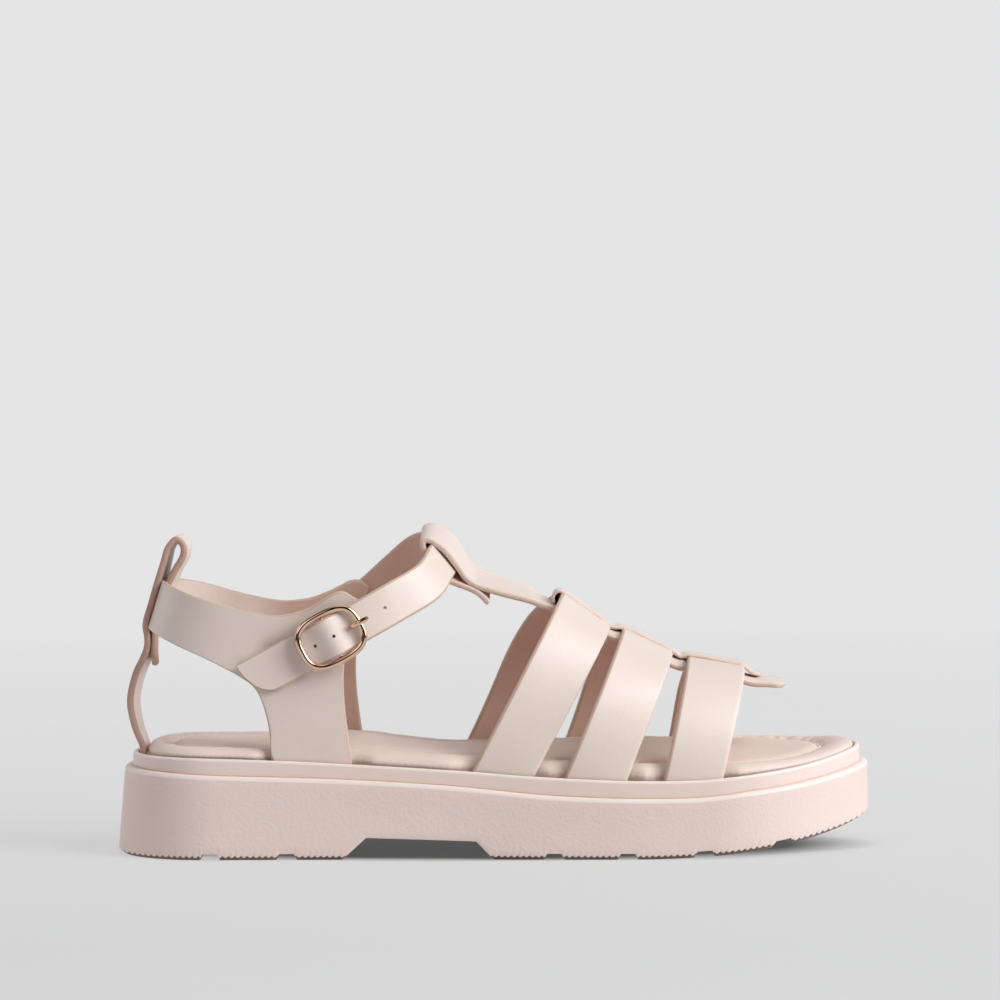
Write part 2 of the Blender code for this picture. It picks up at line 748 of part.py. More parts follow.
def block_box(name, low, high, collection):
    """Box in the buckle's own axes."""
    corners = []
    for out in (low[2], high[2]):
        for along, up in ((low[0], low[1]), (high[0], low[1]), (high[0], high[1]), (low[0], high[1])):
            corners.append(tuple(buckle_point(along, up, out)))
    faces = [(0, 1, 2, 3), (7, 6, 5, 4)]
    faces += [(i, i + 4, (i + 1) % 4 + 4, (i + 1) % 4) for i in range(4)]
    return new_object(name, corners, faces, collection)


def material(name, colour, roughness, metallic=0.0):
    shade = bpy.data.materials.new(name)
    shade.use_nodes = True
    shader = shade.node_tree.nodes["Principled BSDF"]
    shader.inputs["Base Color"].default_value = (*colour, 1.0)
    shader.inputs["Roughness"].default_value = roughness
    shader.inputs["Metallic"].default_value = metallic
    return shade


def build_outsole(parts, helpers):
    def tread_edge(x):
        return tread_height(x) + EDGE_ROUND

    def step_edge(x):
        return sole_value("step", x) - EDGE_ROUND

    def step(x):
        return sole_value("step", x)

    rings = [
        level_ring(EDGE_ROUND, tread_height, 0.0),
        level_ring(0.0, tread_edge, 0.0),
        level_ring(0.0, step_edge),
        level_ring(EDGE_ROUND, step),
    ]
    item = ring_solid("outsole", rings, parts)
    for number, row in enumerate(TREAD_ROWS, 1):
        spec = dict(zip(TREAD_COLUMNS, row))
        half = spec["width"] / 2
        floor = float(tread_height(spec["x"]))
        slope = math.atan2(float(tread_height(spec["x"] + 1)) - floor, 1.0)
        profile = []
        mouth = half + GROOVE_TAPER
        roof = half - GROOVE_TAPER
        corners = ((-mouth, -CUT_BELOW), (mouth, -CUT_BELOW), (roof, GROOVE_DEPTH), (-roof, GROOVE_DEPTH))
        for a, b in corners:
            x = spec["x"] + a * math.cos(slope) - b * math.sin(slope)
            z = floor + a * math.sin(slope) + b * math.cos(slope)
            profile.append((x, z))
        boolean(item, prism(f"tread_groove_{number}", profile, helpers), "DIFFERENCE")
    rear_run = (ARCH_REAR_ROOF - ARCH_REAR_FLOOR) / ARCH_REAR_HEIGHT * CUT_BELOW
    front_run = (ARCH_FRONT_FLOOR - ARCH_FRONT_ROOF) / ARCH_FRONT_HEIGHT * CUT_BELOW
    arch = (
        (ARCH_REAR_FLOOR - rear_run, -CUT_BELOW),
        (ARCH_FRONT_FLOOR + front_run, -CUT_BELOW),
        (ARCH_FRONT_ROOF, ARCH_FRONT_HEIGHT),
        (ARCH_REAR_ROOF, ARCH_REAR_HEIGHT),
    )
    boolean(item, prism("arch_recess", arch, helpers), "DIFFERENCE")
    return item


def build_midsole(parts):
    def base(x):
        return sole_value("step", x) + JOINT_GAP

    def rim_edge(x):
        return sole_value("rim", x) - EDGE_ROUND

    def rim(x):
        return sole_value("rim", x)

    def floor(x):
        return sole_value("rim", x) - FOOT_CHANNEL_DEPTH

    def platform(x):
        return sole_value("rim", x) - PLATFORM_DROP

    inner = RIM_INSET + RIM_WALL
    rings = [
        level_ring(RIM_INSET, base),
        level_ring(RIM_INSET, rim_edge),
        level_ring(RIM_INSET + EDGE_ROUND, rim),
        level_ring(inner, rim),
        level_ring(inner, floor),
        level_ring(inner + FOOT_CHANNEL, floor),
        level_ring(inner + FOOT_CHANNEL, platform),
    ]
    return ring_solid("midsole", rings, parts)


def border_share(x, y):
    """Share of the footbed's height at a place between its lateral and medial border."""
    place = column(BORDER_ROWS, BORDER_COLUMNS, "x")
    lateral = smooth(place, column(BORDER_ROWS, BORDER_COLUMNS, "lateral"), x)
    medial = smooth(place, column(BORDER_ROWS, BORDER_COLUMNS, "medial"), x)
    over = np.clip(0.5 + (y - sole_value("centre", x)) / BORDER_BLEND, 0.0, 1.0)
    return lateral + (medial - lateral) * over**2 * (3 - 2 * over)


def build_insole(parts):
    edge = RIM_INSET + RIM_WALL + FOOT_CHANNEL + INSOLE_GAP
    rings = []
    for inset, height in INSOLE_ROWS:
        loop = outline(edge + inset)
        x, y = loop[:, 0], loop[:, 1]
        rings.append(np.column_stack([loop, sole_value("rim", x) + height * border_share(x, y)]))
    return ring_solid("insole", rings, parts)


def build_upper(parts, helpers):
    item = sheet("upper", quarter_grid(), LEATHER, parts)
    bands = bpy.data.collections.new(OBJECT_NAME + "_bands")
    helpers.children.link(bands)
    for number, row in enumerate(VAMP_ROWS, 1):
        sheet(f"vamp_strap_{number}", vamp_grid(row), LEATHER, bands)
    sheet("middle_strap", middle_grid(), MIDDLE_LEATHER, bands)
    sheet("top_band", band_grid(), BAND_LEATHER, bands)
    sheet("heel_loop", heel_grid(), HEEL_LEATHER, bands)
    sheet("ankle_strap", ankle_grid(), LEATHER, bands)
    join = item.modifiers.new("union_bands", "BOOLEAN")
    join.operation = "UNION"
    join.solver = "EXACT"
    join.operand_type = "COLLECTION"
    join.collection = bands
    hole = tube("prong_hole", prong_path(), PRONG_WIRE + PRONG_CLEARANCE, False, helpers)
    boolean(item, hole, "DIFFERENCE")
    return item


def build_buckle(parts, helpers):
    strap = sheet("buckle_strap", holder_grid(), HOLDER_LEATHER, parts)
    low = (SLOT_ALONG[0], -PRONG_SLOT / 2, SLOT_OUT[0])
    high = (SLOT_ALONG[1], PRONG_SLOT / 2, SLOT_OUT[1])
    slot = block_box("prong_slot", low, high, helpers)
    boolean(strap, slot, "DIFFERENCE")
    frame = tube("buckle_frame", frame_ring(), FRAME_WIRE, True, parts)
    bar = tube("buckle_bar", frame_bar(), BAR_WIRE, False, helpers)
    boolean(frame, bar, "UNION")
    prong = tube("buckle_prong", prong_path(), PRONG_WIRE, False, parts)
    boolean(prong, sleeve("prong_sleeve", helpers), "UNION")
    return strap, frame, prong


def main():
    for item in list(bpy.data.objects):
        bpy.data.objects.remove(item)
    parts = bpy.data.collections.new(OBJECT_NAME)
    helpers = bpy.data.collections.new(OBJECT_NAME + "_cutters")
    for group in (parts, helpers):
        bpy.context.scene.collection.children.link(group)
    root = bpy.data.objects.new(OBJECT_NAME + "_root", None)
    parts.objects.link(root)
    leather = material("blush_leather", (0.80, 0.62, 0.54), 0.45)
    block = material("grained_sole", (0.72, 0.52, 0.45), 0.65)
    rim = material("smooth_rim", (0.74, 0.54, 0.47), 0.5)
    padding = material("footbed_leather", (0.78, 0.60, 0.53), 0.55)
    metal = material("rose_gold", (0.80, 0.52, 0.36), 0.2, 1.0)
    pieces = [
        (build_outsole(parts, helpers), block),
        (build_midsole(parts), rim),
        (build_insole(parts), padding),
        (build_upper(parts, helpers), leather),
    ]
    strap, frame, prong = build_buckle(parts, helpers)
    pieces += [(strap, leather), (frame, metal), (prong, metal)]
    for item, shade in pieces:
        item.data.materials.clear()
        item.data.materials.append(shade)
        item.parent = root
    for helper in helpers.all_objects:
        helper.hide_render = True
        helper.display_type = "WIRE"


main()
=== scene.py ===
"""Looks of the platform sandal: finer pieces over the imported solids, materials, floor, light and camera.

The shoe's sizes are in millimetres in the part's own frame: +X toe, +Y medial side, +Z up.
"""

import math

import bmesh
import bpy
import numpy as np
from mathutils import Matrix


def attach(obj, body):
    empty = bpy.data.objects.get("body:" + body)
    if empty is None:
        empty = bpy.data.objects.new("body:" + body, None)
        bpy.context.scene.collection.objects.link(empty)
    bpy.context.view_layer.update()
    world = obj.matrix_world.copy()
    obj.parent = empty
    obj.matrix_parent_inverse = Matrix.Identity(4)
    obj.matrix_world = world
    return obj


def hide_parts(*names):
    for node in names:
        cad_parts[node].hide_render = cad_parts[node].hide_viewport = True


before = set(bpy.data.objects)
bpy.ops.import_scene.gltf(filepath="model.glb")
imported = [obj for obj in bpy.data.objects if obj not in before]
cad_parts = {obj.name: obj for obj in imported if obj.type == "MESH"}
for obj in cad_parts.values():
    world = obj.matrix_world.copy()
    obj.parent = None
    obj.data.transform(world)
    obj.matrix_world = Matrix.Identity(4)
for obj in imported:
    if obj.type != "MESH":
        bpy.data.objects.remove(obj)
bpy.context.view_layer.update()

MM = 0.001
BODY = "root"
# Fine samples for each even step of a path, and plan stations for reading places.
PATH_FINENESS = 12
TINY = 1e-9
FINE_STATIONS = 241

# Sole stations along the foot.
SOLE_COLUMNS = ("x", "centre", "half_width", "step", "rim")
SOLE_ROWS = (
    (-131.0, -6.7, 37.0, 30.2, 34.9),
    (-95.0, -6.7, 37.0, 28.7, 34.4),
    (-50.0, -5.9, 38.0, 27.2, 32.4),
    (-15.0, -3.9, 40.5, 25.0, 30.2),
    (20.0, -1.8, 45.0, 21.7, 27.7),
    (52.0, -0.6, 47.5, 20.6, 26.5),
    (72.0, 0.3, 47.5, 20.9, 26.7),
    (90.0, 1.9, 47.0, 22.8, 28.2),
    (108.0, 4.1, 46.0, 25.0, 30.4),
    (131.0, 6.7, 44.0, 29.2, 34.8),
)
HEEL_END_LENGTH = 36.0
HEEL_END_POWER = 2.2
TOE_END_LENGTH = 55.0
TOE_END_POWER = 2.2
FLARE_HEEL = 2.6
FLARE_TOE = 0.4
SPRING_START = 45.0
SPRING_HEIGHT = 10.9
SPRING_POWER = 2.4

# Tread: cross grooves, arch recess and the fine ribs that show as teeth along the edge.
# Columns: x, width.
TREAD_ROWS = (
    (-96.9, 7.4),
    (-70.5, 7.4),
    (21.0, 7.4),
    (46.2, 7.4),
    (72.4, 7.4),
    (99.6, 7.6),
)
GROOVE_DEPTH = 2.1
GROOVE_MOUTH_TAPER = 0.18
GROOVE_ROOF_TAPER = 1.2
ARCH_PROFILE = ((-51.5, 0.0), (-43.3, 7.5), (-5.6, 6.2), (0.4, 0.0))
RIB_PITCH = 2.1
RIB_DEPTH = 0.75
# The toothed lip hangs over the tread: its height off the floor, its reach, the taper of the wall behind it,
# inset and rise of its bevel's rings, and the height at which the walls of block and rim start.
LIP_HEIGHT = 0.9
LIP_REACH = 1.8
LIP_TAPER = 0.1
LIP_BEVEL = ((0.35, 0.0), (0.08, 0.12))
WALL_START = 0.4
BLOCK_STATIONS = 900
BLOCK_LEVELS = 9
STEP_ROUND = 1.4
# Turns, in degrees, of the rounded upper edges of block and rim.
ROUND_TURNS = (22.5, 45.0, 67.5, 90.0)

# Rim band, strap channel and footbed.
RIM_INSET = 2.8
RIM_WALL = 1.8
RIM_ROUND = 0.9
# Inset and rise over the step of the rim's lowest rings, its round inner edge, and its seat for the footbed.
RIM_FOOT = ((0.3, -0.1), (0.05, 0.15))
RIM_INNER_ROUND = 0.5
RIM_INNER_TURNS = (0.0, 30.0, 60.0, 90.0)
RIM_SEAT = 4.0
FOOT_CHANNEL = 3.2
FOOT_CHANNEL_DEPTH = 2.4
JOINT_GAP = 0.3
RIM_STATIONS = 420
RIM_LEVELS = 6
PAD_STATIONS = 620
PAD_EDGE_WIDE = 5.2
PAD_EDGE_AT_STRAP = 8.1
PAD_CHANNEL = 16.7
# Footbed section: share of the way from edge to sewn channel (over 1 is past it), height above the rim.
PAD_COLUMNS = ("share", "height")
PAD_ROWS = (
    (0.11, -1.2),
    (0.02, 0.2),
    (0.0, 1.3),
    (0.05, 2.4),
    (0.14, 3.4),
    (0.3, 4.2),
    (0.48, 4.45),
    (0.66, 4.3),
    (0.8, 3.8),
    (0.92, 3.0),
    (1.0, 2.5),
    (1.06, 2.85),
    (1.14, 3.5),
    (1.26, 4.15),
    (1.4, 4.5),
    (1.5, 4.6),
)
# Footbed border: share of its height on the lateral and the medial side, along the foot.
BORDER_COLUMNS = ("x", "lateral", "medial")
BORDER_ROWS = (
    (-131.0, 0.78, 1.0),
    (-90.0, 0.76, 1.03),
    (-66.0, 0.85, 1.3),
    (-47.0, 1.0, 1.55),
    (-33.0, 1.05, 1.27),
    (-17.0, 1.08, 1.08),
    (-4.0, 1.12, 1.25),
    (21.0, 1.22, 1.65),
    (57.0, 1.22, 1.9),
    (85.0, 0.9, 1.6),
    (100.0, 0.68, 1.25),
    (112.0, 0.66, 0.95),
    (131.0, 0.75, 0.85),
)
BORDER_BLEND = 60.0
PAD_RINGS = 46
PUCKER_PITCH = 7.5
PUCKER_DEPTH = 1.0
# How far from the channel the dips reach, outward and inward, as a share of the border's width.
PUCKER_REACH = (0.42, 0.16)
# Spread of the dips' half widths, depths and spacing, and seeds of the inner and the outer row.
PUCKER_WIDTHS = (1.4, 2.6)
PUCKER_SHARES = (0.35, 1.0)
PUCKER_SPACING = (0.65, 1.35)
PUCKER_SEEDS = (3, 8)
# Share of a dip that is left in the channel, and how near to its line counts as in it.
CHANNEL_DIP = 0.4
CHANNEL_NEAR = 0.02
# Gathers on the border's outer side: middle height, spread and share of the border.
GATHER_PITCH = 2.4
GATHER_DEPTH = 0.08
GATHER_HEIGHT = 0.6
GATHER_SPREAD = 1.1
GATHER_REACH = 0.2
# Length over which the edge swings round a strap foot, and reach of the heel strap's rest.
STRAP_BLUR = 4.2
HEEL_REST = 27.0
PAD_STITCH_HEIGHT = 2.5
STITCH_LENGTH = 2.0
STITCH_PITCH = 3.3
STITCH_STEPS = 7
STITCH_SIDES = 6
# A stitch's thickness at its ends and depth in the leather, as shares, and the step that gives its direction.
STITCH_END = 0.02
STITCH_SINK = 0.2
STITCH_AHEAD = 0.5
THREAD_RADIUS = 0.32

# Half thickness of the straps, and how much of it the cut edges round off.
HALF_LEATHER = 1.0
HALF_MIDDLE = 1.0
HALF_BAND = 0.6
HALF_HEEL = 1.15
HALF_HOLDER = 0.5
EDGE_ROUNDNESS = 1.0
EDGE_STEPS = 7
# Most of a grid's step that a round edge takes, and least share of a band's width at a round end.
EDGE_ROOM = 0.7
NARROWEST_END = 0.02

# Vamp straps.
VAMP_COLUMNS = (
    "foot_rear", "foot_front", "top_rear", "top_front", "height_rear", "height_front", "set_back",
    "bow", "taper",
)
VAMP_ROWS = (
    (-7.6, 13.9, 23.7, 40.7, 89.3, 77.1, 5.6, 2.4, 0.13),
    (24.2, 45.7, 44.9, 62.4, 76.6, 68.0, 2.7, 2.0, 0.13),
    (58.3, 78.8, 67.4, 87.5, 66.4, 62.8, -1.4, 1.0, 0.06),
)
# Distance past the middle over which the medial side takes its set back.
VAMP_TURN = 22.0
VAMP_ROUNDNESS = 2.35
VAMP_STEPS = 150
VAMP_ACROSS = 12
# Place inside the foot, as shares of a strap's middle.
VAMP_INSIDE = (1.0, 1.0, 0.6)

# Middle strap, from its hidden tail over the ankle strap to the toe end.
MIDDLE_WIDTH = 19.0
MIDDLE_CORNER = 5.0
# Columns: x, y, z, roll, crown.
MIDDLE_ROWS = (
    (-1.4, -1.8, 88.3, 18.0, 0.0),
    (-5.0, -2.0, 91.9, 19.0, 0.0),
    (-8.4, -2.3, 93.8, 20.0, 0.0),
    (-12.0, -2.7, 95.3, 21.0, 0.0),
    (-16.2, -3.0, 97.2, 21.0, 0.0),
    (-20.0, -3.0, 100.6, 19.0, 0.0),
    (-22.5, -3.0, 104.6, 15.0, 0.0),
    (-24.1, -3.0, 107.5, 13.0, 0.0),
    (-23.6, -3.0, 109.3, 13.0, 0.0),
    (-21.7, -3.0, 109.6, 14.5, 0.0),
    (-19.5, -3.0, 108.8, 17.0, 0.0),
    (-16.6, -3.0, 106.9, 19.5, 0.0),
    (-13.7, -3.0, 103.6, 21.0, 0.0),
    (-11.5, -2.8, 100.3, 19.5, 0.0),
    (-9.2, -2.5, 96.8, 18.0, 0.0),
    (-6.3, -2.2, 94.4, 17.0, 0.0),
    (-2.0, -1.8, 92.7, 15.5, 0.0),
    (2.7, -1.5, 91.0, 13.8, 0.0),
    (8.0, -1.1, 89.3, 11.6, 0.0),
    (13.0, -0.8, 87.5, 9.0, 0.0),
    (18.0, -0.5, 85.0, 4.5, 0.2),
    (25.0, 0.0, 83.0, 2.0, 1.6),
    (34.0, 0.5, 79.3, 0.0, 3.0),
    (41.5, 0.9, 74.8, 0.0, 3.2),
    (46.5, 1.2, 73.7, 0.0, 3.7),
    (54.0, 1.6, 69.5, 0.0, 3.2),
    (64.3, 2.1, 64.5, 0.0, 3.6),
    (72.0, 2.5, 63.4, 0.0, 3.4),
    (78.0, 2.8, 61.9, 0.0, 2.8),
    (90.0, 3.4, 57.9, 0.0, 2.4),
    (96.0, 3.7, 57.2, 0.0, 1.8),
    (102.0, 4.0, 56.0, 0.0, 0.6),
)
MIDDLE_STEPS = 220
MIDDLE_ACROSS = 25
CROWN_POWER = 4
# The finer strap has a thicker edge than the solid, so that it hangs less.
CROWN_SHARE = 0.75

# Top band over the vamp straps.
BAND_WIDTH = 14.0
BAND_CORNER = 3.0
# Columns: x, y, z.
BAND_ROWS = (
    (21.2, -0.2, 85.2),
    (20.9, -0.1, 87.0),
    (21.5, 0.0, 88.4),
    (22.7, 0.0, 89.2),
    (24.2, 0.1, 88.9),
    (29.6, 0.2, 85.2),
    (37.0, 0.6, 79.9),
    (40.2, 0.8, 77.3),
    (41.9, 0.9, 76.4),
    (44.6, 1.1, 76.2),
    (49.3, 1.3, 74.7),
    (54.3, 1.6, 72.2),
    (59.2, 1.9, 69.7),
    (63.1, 2.1, 67.5),
    (65.1, 2.2, 66.0),
    (67.5, 2.3, 66.5),
    (71.9, 2.5, 66.0),
    (76.8, 2.7, 65.0),
    (82.7, 3.0, 63.8),
    (86.4, 3.2, 63.0),
    (88.4, 3.3, 61.6),
    (90.2, 3.4, 60.1),
    (93.4, 3.6, 59.4),
)
BAND_STEPS = 160
BAND_ACROSS = 12

# Quarter, heel to front edge.
# Columns: top x, top z, low x, low z, bow.
QUARTER_ROWS = (
    (-114.0, 94.3, -119.2, 77.7, 0.0),
    (-102.4, 90.2, -108.2, 72.8, 0.0),
    (-91.7, 86.9, -98.0, 68.4, 0.0),
    (-80.5, 84.2, -87.4, 62.8, 0.0),
    (-73.5, 83.4, -81.2, 58.0, 0.0),
    (-68.0, 84.2, -78.0, 50.5, 0.0),
    (-63.5, 85.7, -76.3, 42.0, 0.0),
    (-59.0, 88.2, -75.3, 32.7, 0.0),
    (-55.0, 90.6, -66.0, 32.0, 0.0),
    (-51.0, 91.5, -57.0, 31.2, -1.6),
    (-45.8, 88.6, -48.0, 30.7, -4.0),
)
# Rows that stand in the strap channel, and a place inside the heel.
QUARTER_FEET = QUARTER_ROWS[7:]
QUARTER_INSIDE = (-78.0, -6.0, 60.0)
MEDIAL_COLUMNS = ("top_x", "rise", "ahead")
MEDIAL_ROWS = (
    (-114.0, 0.0, 0.0),
    (-102.4, 1.4, 0.0),
    (-88.0, 1.5, 0.0),
    (-78.0, 1.6, 0.0),
    (-70.0, 1.4, 0.0),
    (-62.0, 0.4, 0.0),
    (-55.0, -0.4, 0.6),
    (-51.0, 0.6, 1.1),
    (-48.0, 1.6, 1.4),
    (-45.8, 1.2, 1.6),
)
BOW_POWER = 1.2
ANKLE_HALF = 27.6
ANKLE_HEIGHT = 92.0
ANKLE_DRAW_POWER = 0.8
HEEL_ARC_MIDDLE = -90.0
HEEL_ARC_POWER = 2.4
HEEL_BACK_Z = 78.0
HEEL_BACK_X = -119.2
HEEL_BACK_SLOPE = 0.32
QUARTER_STEPS = 90
QUARTER_CROWDING = 1.5
QUARTER_LEVELS = 36

# Heel loop.
HEEL_WIDTH = 18.0
HEEL_CORNER = 4.0
HEEL_Y = -6.7
HEEL_ACROSS = 14
# Columns: x, z, curve across, turn toward the lateral side.
HEEL_ROWS = (
    (-122.2, 33.6, 0.6, 0.0),
    (-122.2, 36.4, 0.6, 0.0),
    (-124.6, 43.5, 0.6, 2.0),
    (-126.0, 52.5, 0.7, 4.0),
    (-123.9, 62.0, 0.8, 5.0),
    (-121.5, 67.0, 0.8, 5.0),
    (-119.9, 71.2, 0.8, 5.0),
    (-119.8, 75.0, 0.8, 5.0),
    (-120.3, 79.0, 0.8, 5.0),
    (-117.9, 87.4, 0.7, 5.0),
    (-115.8, 94.4, 0.7, 5.0),
    (-114.0, 100.8, 0.6, 2.5),
    (-112.4, 105.6, 0.4, 1.5),
    (-109.5, 108.5, 0.3, 1.5),
    (-107.1, 106.5, 0.3, 1.5),
    (-107.3, 102.9, 0.5, 1.5),
    (-110.0, 98.1, 0.6, 2.5),
    (-112.4, 93.1, 0.7, 4.0),
    (-114.2, 86.8, 0.7, 4.0),
    (-117.4, 77.8, 0.6, -1.0),
    (-118.2, 71.0, 0.5, -4.0),
    (-117.8, 64.6, 0.4, -4.0),
)
HEEL_STEPS = 220

# Trough in the lateral quarter above the buckle's strap, in the buckle's own axes.
TROUGH_RUN = (-30.0, 6.0)
TROUGH_FADE = 8.0
TROUGH_UP = 6.6
TROUGH_WIDTH = 4.4
TROUGH_DEPTH = 1.7

# Buckle, its strap and the ankle strap.
BUCKLE_X = -55.0
BUCKLE_Z = 75.8
BUCKLE_RISE = 28.0
STRAP_WIDTH = 14.0
SLOPE_REACH = 6.0
LEATHER = 2.0
# Columns: along and out, in the buckle's own axes.
ANKLE_TIP_ROWS = (
    (-12.4, 2.7),
    (-6.7, 2.9),
    (0.0, 5.7),
    (6.4, 2.9),
    (11.6, 2.1),
)
# Columns: x, y, z of the upper edge, x, y, z of the lower edge.
ANKLE_ROWS = (
    (-36.6, -32.8, 93.8, -29.9, -32.2, 81.4),
    (-25.8, -24.4, 99.9, -18.4, -24.0, 88.2),
    (-22.2, -13.6, 105.2, -13.9, -13.6, 94.6),
    (-21.5, -3.4, 107.3, -12.9, -3.4, 96.7),
    (-24.3, 6.4, 109.6, -15.9, 7.0, 97.9),
    (-30.4, 14.6, 107.3, -23.0, 15.4, 94.4),
    (-38.6, 20.0, 100.3, -31.6, 21.0, 87.6),
    (-47.3, 23.5, 92.4, -40.3, 24.4, 80.5),
    (-55.0, 23.5, 86.8, -48.2, 24.1, 74.8),
)
ANKLE_STEPS = 220
ANKLE_ACROSS = 12
ANKLE_CORNER = 5.0
ANKLE_INSIDE = (-40.0, -2.0, 85.0)
# Punched holes: place along the strap from the buckle's bar.
HOLE_ALONG = (-5.8, 0.9, 8.2, 13.7, 21.0)
HOLE_RADIUS = 0.6
HOLE_HALF_DEPTH = 2.5
HOLE_SIDES = 20
HOLDER_SLANT = 0.44
HOLDER_SLANT_START = 12.0
HOLDER_SLANT_RUN = 19.0
HOLDER_END_BULGE = 1.6
# Columns: along and out, in the buckle's own axes.
HOLDER_ROWS = (
    (-30.4, 1.32),
    (-20.0, 1.04),
    (-12.0, 0.92),
    (-5.0, 0.84),
    (-1.6, 0.8),
    (0.0, 0.8),
    (1.1, 1.3),
    (1.5, 2.3),
    (1.1, 3.3),
    (0.0, 3.8),
    (-1.1, 3.4),
)
HOLDER_STEPS = 120
HOLDER_ACROSS = 25
# Radius of the lower rear corner, and slot for the prong in the loop round the bar.
HOLDER_CORNER = 4.0
PRONG_SLOT = 3.4
SLOT_ALONG = (-3.0, 8.0)
SLOT_OUT = (0.2, 8.0)
FRAME_HALF_LENGTH = 11.0
FRAME_HALF_HEIGHT = 8.6
FRAME_POWER = 2.9
FRAME_WIRE = 1.1
FRAME_FLATNESS = 0.92
FRAME_OUT = 5.15
BAR_WIRE = 0.7
BAR_OUT = 2.3
BAR_RUN_IN = 1.2
FRAME_STEPS = 240
WIRE_SIDES = 24
PRONG_WIRE = 0.8
PRONG_BREADTH = 1.15
# Columns: along and out, in the buckle's own axes.
PRONG_ROWS = (
    (1.2, 1.9),
    (4.4, 1.6),
    (6.4, 2.2),
    (7.7, 3.7),
    (9.0, 6.3),
    (10.6, 7.4),
    (13.8, 7.4),
)
PRONG_STEPS = 48
SLEEVE_HALF = 1.3
SLEEVE_RADIUS = 1.7

# Camera of the photo, in millimetres and degrees.
CAMERA_PLACE = (33.88, -1792.35, 202.3)
CAMERA_TURN = 1.0
CAMERA_PITCH = 2.6
CAMERA_ROLL = 0.4
CAMERA_SENSOR = 36.0
CAMERA_LENS = 185.14
CAMERA_CLIP = (0.05, 50.0)

# Finish of each kind of material: scales of its tone patches and roughness patches, spread of the roughness.
LEATHER_FINISH = (55.0, 140.0, -0.05, 0.06)
RUBBER_FINISH = (38.0, 90.0, -0.04, 0.05)
METAL_FINISH = (300.0, 700.0, -0.04, 0.04)
# Noise values between which roughness changes, and grain: scale of its cells, scale and weight of its noise.
GLOSS_PATCHES = (0.3, 0.7)
GRAIN_DETAIL = 4.0
LEATHER_GRAIN = (1500.0, 420.0, 1.5)
RUBBER_GRAIN = (1000.0, 700.0, 0.8)
COAT_ROUGHNESS = 0.35
LINING_GLOSS = 0.6
LINING_GRAIN = 0.00005
METAL_GLOSS = 0.16
METAL_DEEPER = 0.93

# Room tones, floor and lamps, in metres and watts.
FLOOR_TONE = (0.19, 0.19, 0.19)
FLOOR_REACH = 3.0
FLOOR_ROUGHNESS = 0.9
FLOOR_SPECULAR = 0.1
# The floor's own glow in front of the shoe and behind it, the places of that change across the floor, the
# distances of its fading out, and half length, half width and share of glow of the dark place under the sole.
FLOOR_GLOW = (0.47, 0.575)
FLOOR_DEPTH = (-0.27, 0.5)
FLOOR_FADE = (0.45, 1.1)
SOLE_SHADOW = (0.122, 0.046)
SOLE_SHADOW_GLOW = 0.16
SOLE_SHADOW_EDGE = (0.85, 1.1)
# Glow of the room's walls, and the turn toward the wall behind the shoe over which they start to give light.
ROOM_GLOW = 0.78
ROOM_TURN = (0.2, 0.95)
LIGHT_TARGET = (0.0, 0.0, 0.05)
# Columns: name, place, size, power, colour.
LIGHT_ROWS = (
    ("front_right", (1.25, -0.9, 1.2), (1.1, 1.1), 29.0, (1.0, 1.0, 1.0)),
    ("right_low", (1.6, -0.3, 0.6), (1.2, 1.0), 10.5, (0.95, 1.04, 1.09)),
    ("front_left", (-1.2, -1.2, 1.0), (1.1, 1.1), 5.6, (1.0, 1.0, 1.0)),
    ("left_low", (-1.5, 0.35, 0.55), (1.2, 1.0), 5.0, (1.0, 1.0, 1.0)),
    ("overhead", (0.1, -0.2, 1.8), (1.6, 1.6), 6.5, (1.0, 1.0, 1.0)),
)


def column(rows, columns, name):
    return np.array([row[columns.index(name)] for row in rows], float)


def smooth(xs, ys, x):
    """Curve through table rows with matching slopes at each row."""
    xs = np.asarray(xs, float)
    ys = np.asarray(ys, float)
    x = np.atleast_1d(np.asarray(x, float))
    slope = np.gradient(ys, xs, axis=0)
    i = np.clip(np.searchsorted(xs, x) - 1, 0, len(xs) - 2)
    span = xs[i + 1] - xs[i]
    t = np.clip((x - xs[i]) / span, 0.0, 1.0)
    if ys.ndim > 1:
        t = t[:, None]
        span = span[:, None]
    start = (2 * t**3 - 3 * t**2 + 1) * ys[i] + (t**3 - 2 * t**2 + t) * span * slope[i]
    end = (3 * t**2 - 2 * t**3) * ys[i + 1] + (t**3 - t**2) * span * slope[i + 1]
    return start + end


def run_along(points):
    """Length of a line of points up to each of them."""
    return np.concatenate(([0.0], np.cumsum(np.linalg.norm(np.diff(points, axis=0), axis=1))))


def read_along(places, run, points):
    """Points of a line at the given lengths."""
    return np.stack([np.interp(places, run, points[:, k]) for k in range(points.shape[1])], 1)


def path(points, steps):
    """Even samples of a smooth path through the given points."""
    points = np.asarray(points, float)
    gaps = np.linalg.norm(np.diff(points, axis=0), axis=1)
    along = np.concatenate(([0.0], np.cumsum(np.sqrt(gaps))))
    dense = smooth(along, points, np.linspace(0.0, along[-1], steps * PATH_FINENESS))
    run = run_along(dense)
    return read_along(np.linspace(0.0, run[-1], steps), run, dense)


def unit(vectors):
    return vectors / np.maximum(np.linalg.norm(vectors, axis=-1, keepdims=True), TINY)


def eased(share):
    """Share from 0 to 1 with a soft start and end."""
    share = np.clip(share, 0.0, 1.0)
    return share**2 * (3 - 2 * share)


def power_curve(values, power):
    """Cosines or sines of a turn, drawn out toward a box's corners as the power grows from 2."""
    return np.sign(values) * np.abs(values) ** (2 / power)


def table_value(rows, columns, name, x):
    """A table's column as a smooth curve over its first column."""
    return smooth(column(rows, columns, columns[0]), column(rows, columns, name), x)


def sole_value(name, x):
    return table_value(SOLE_ROWS, SOLE_COLUMNS, name, x)


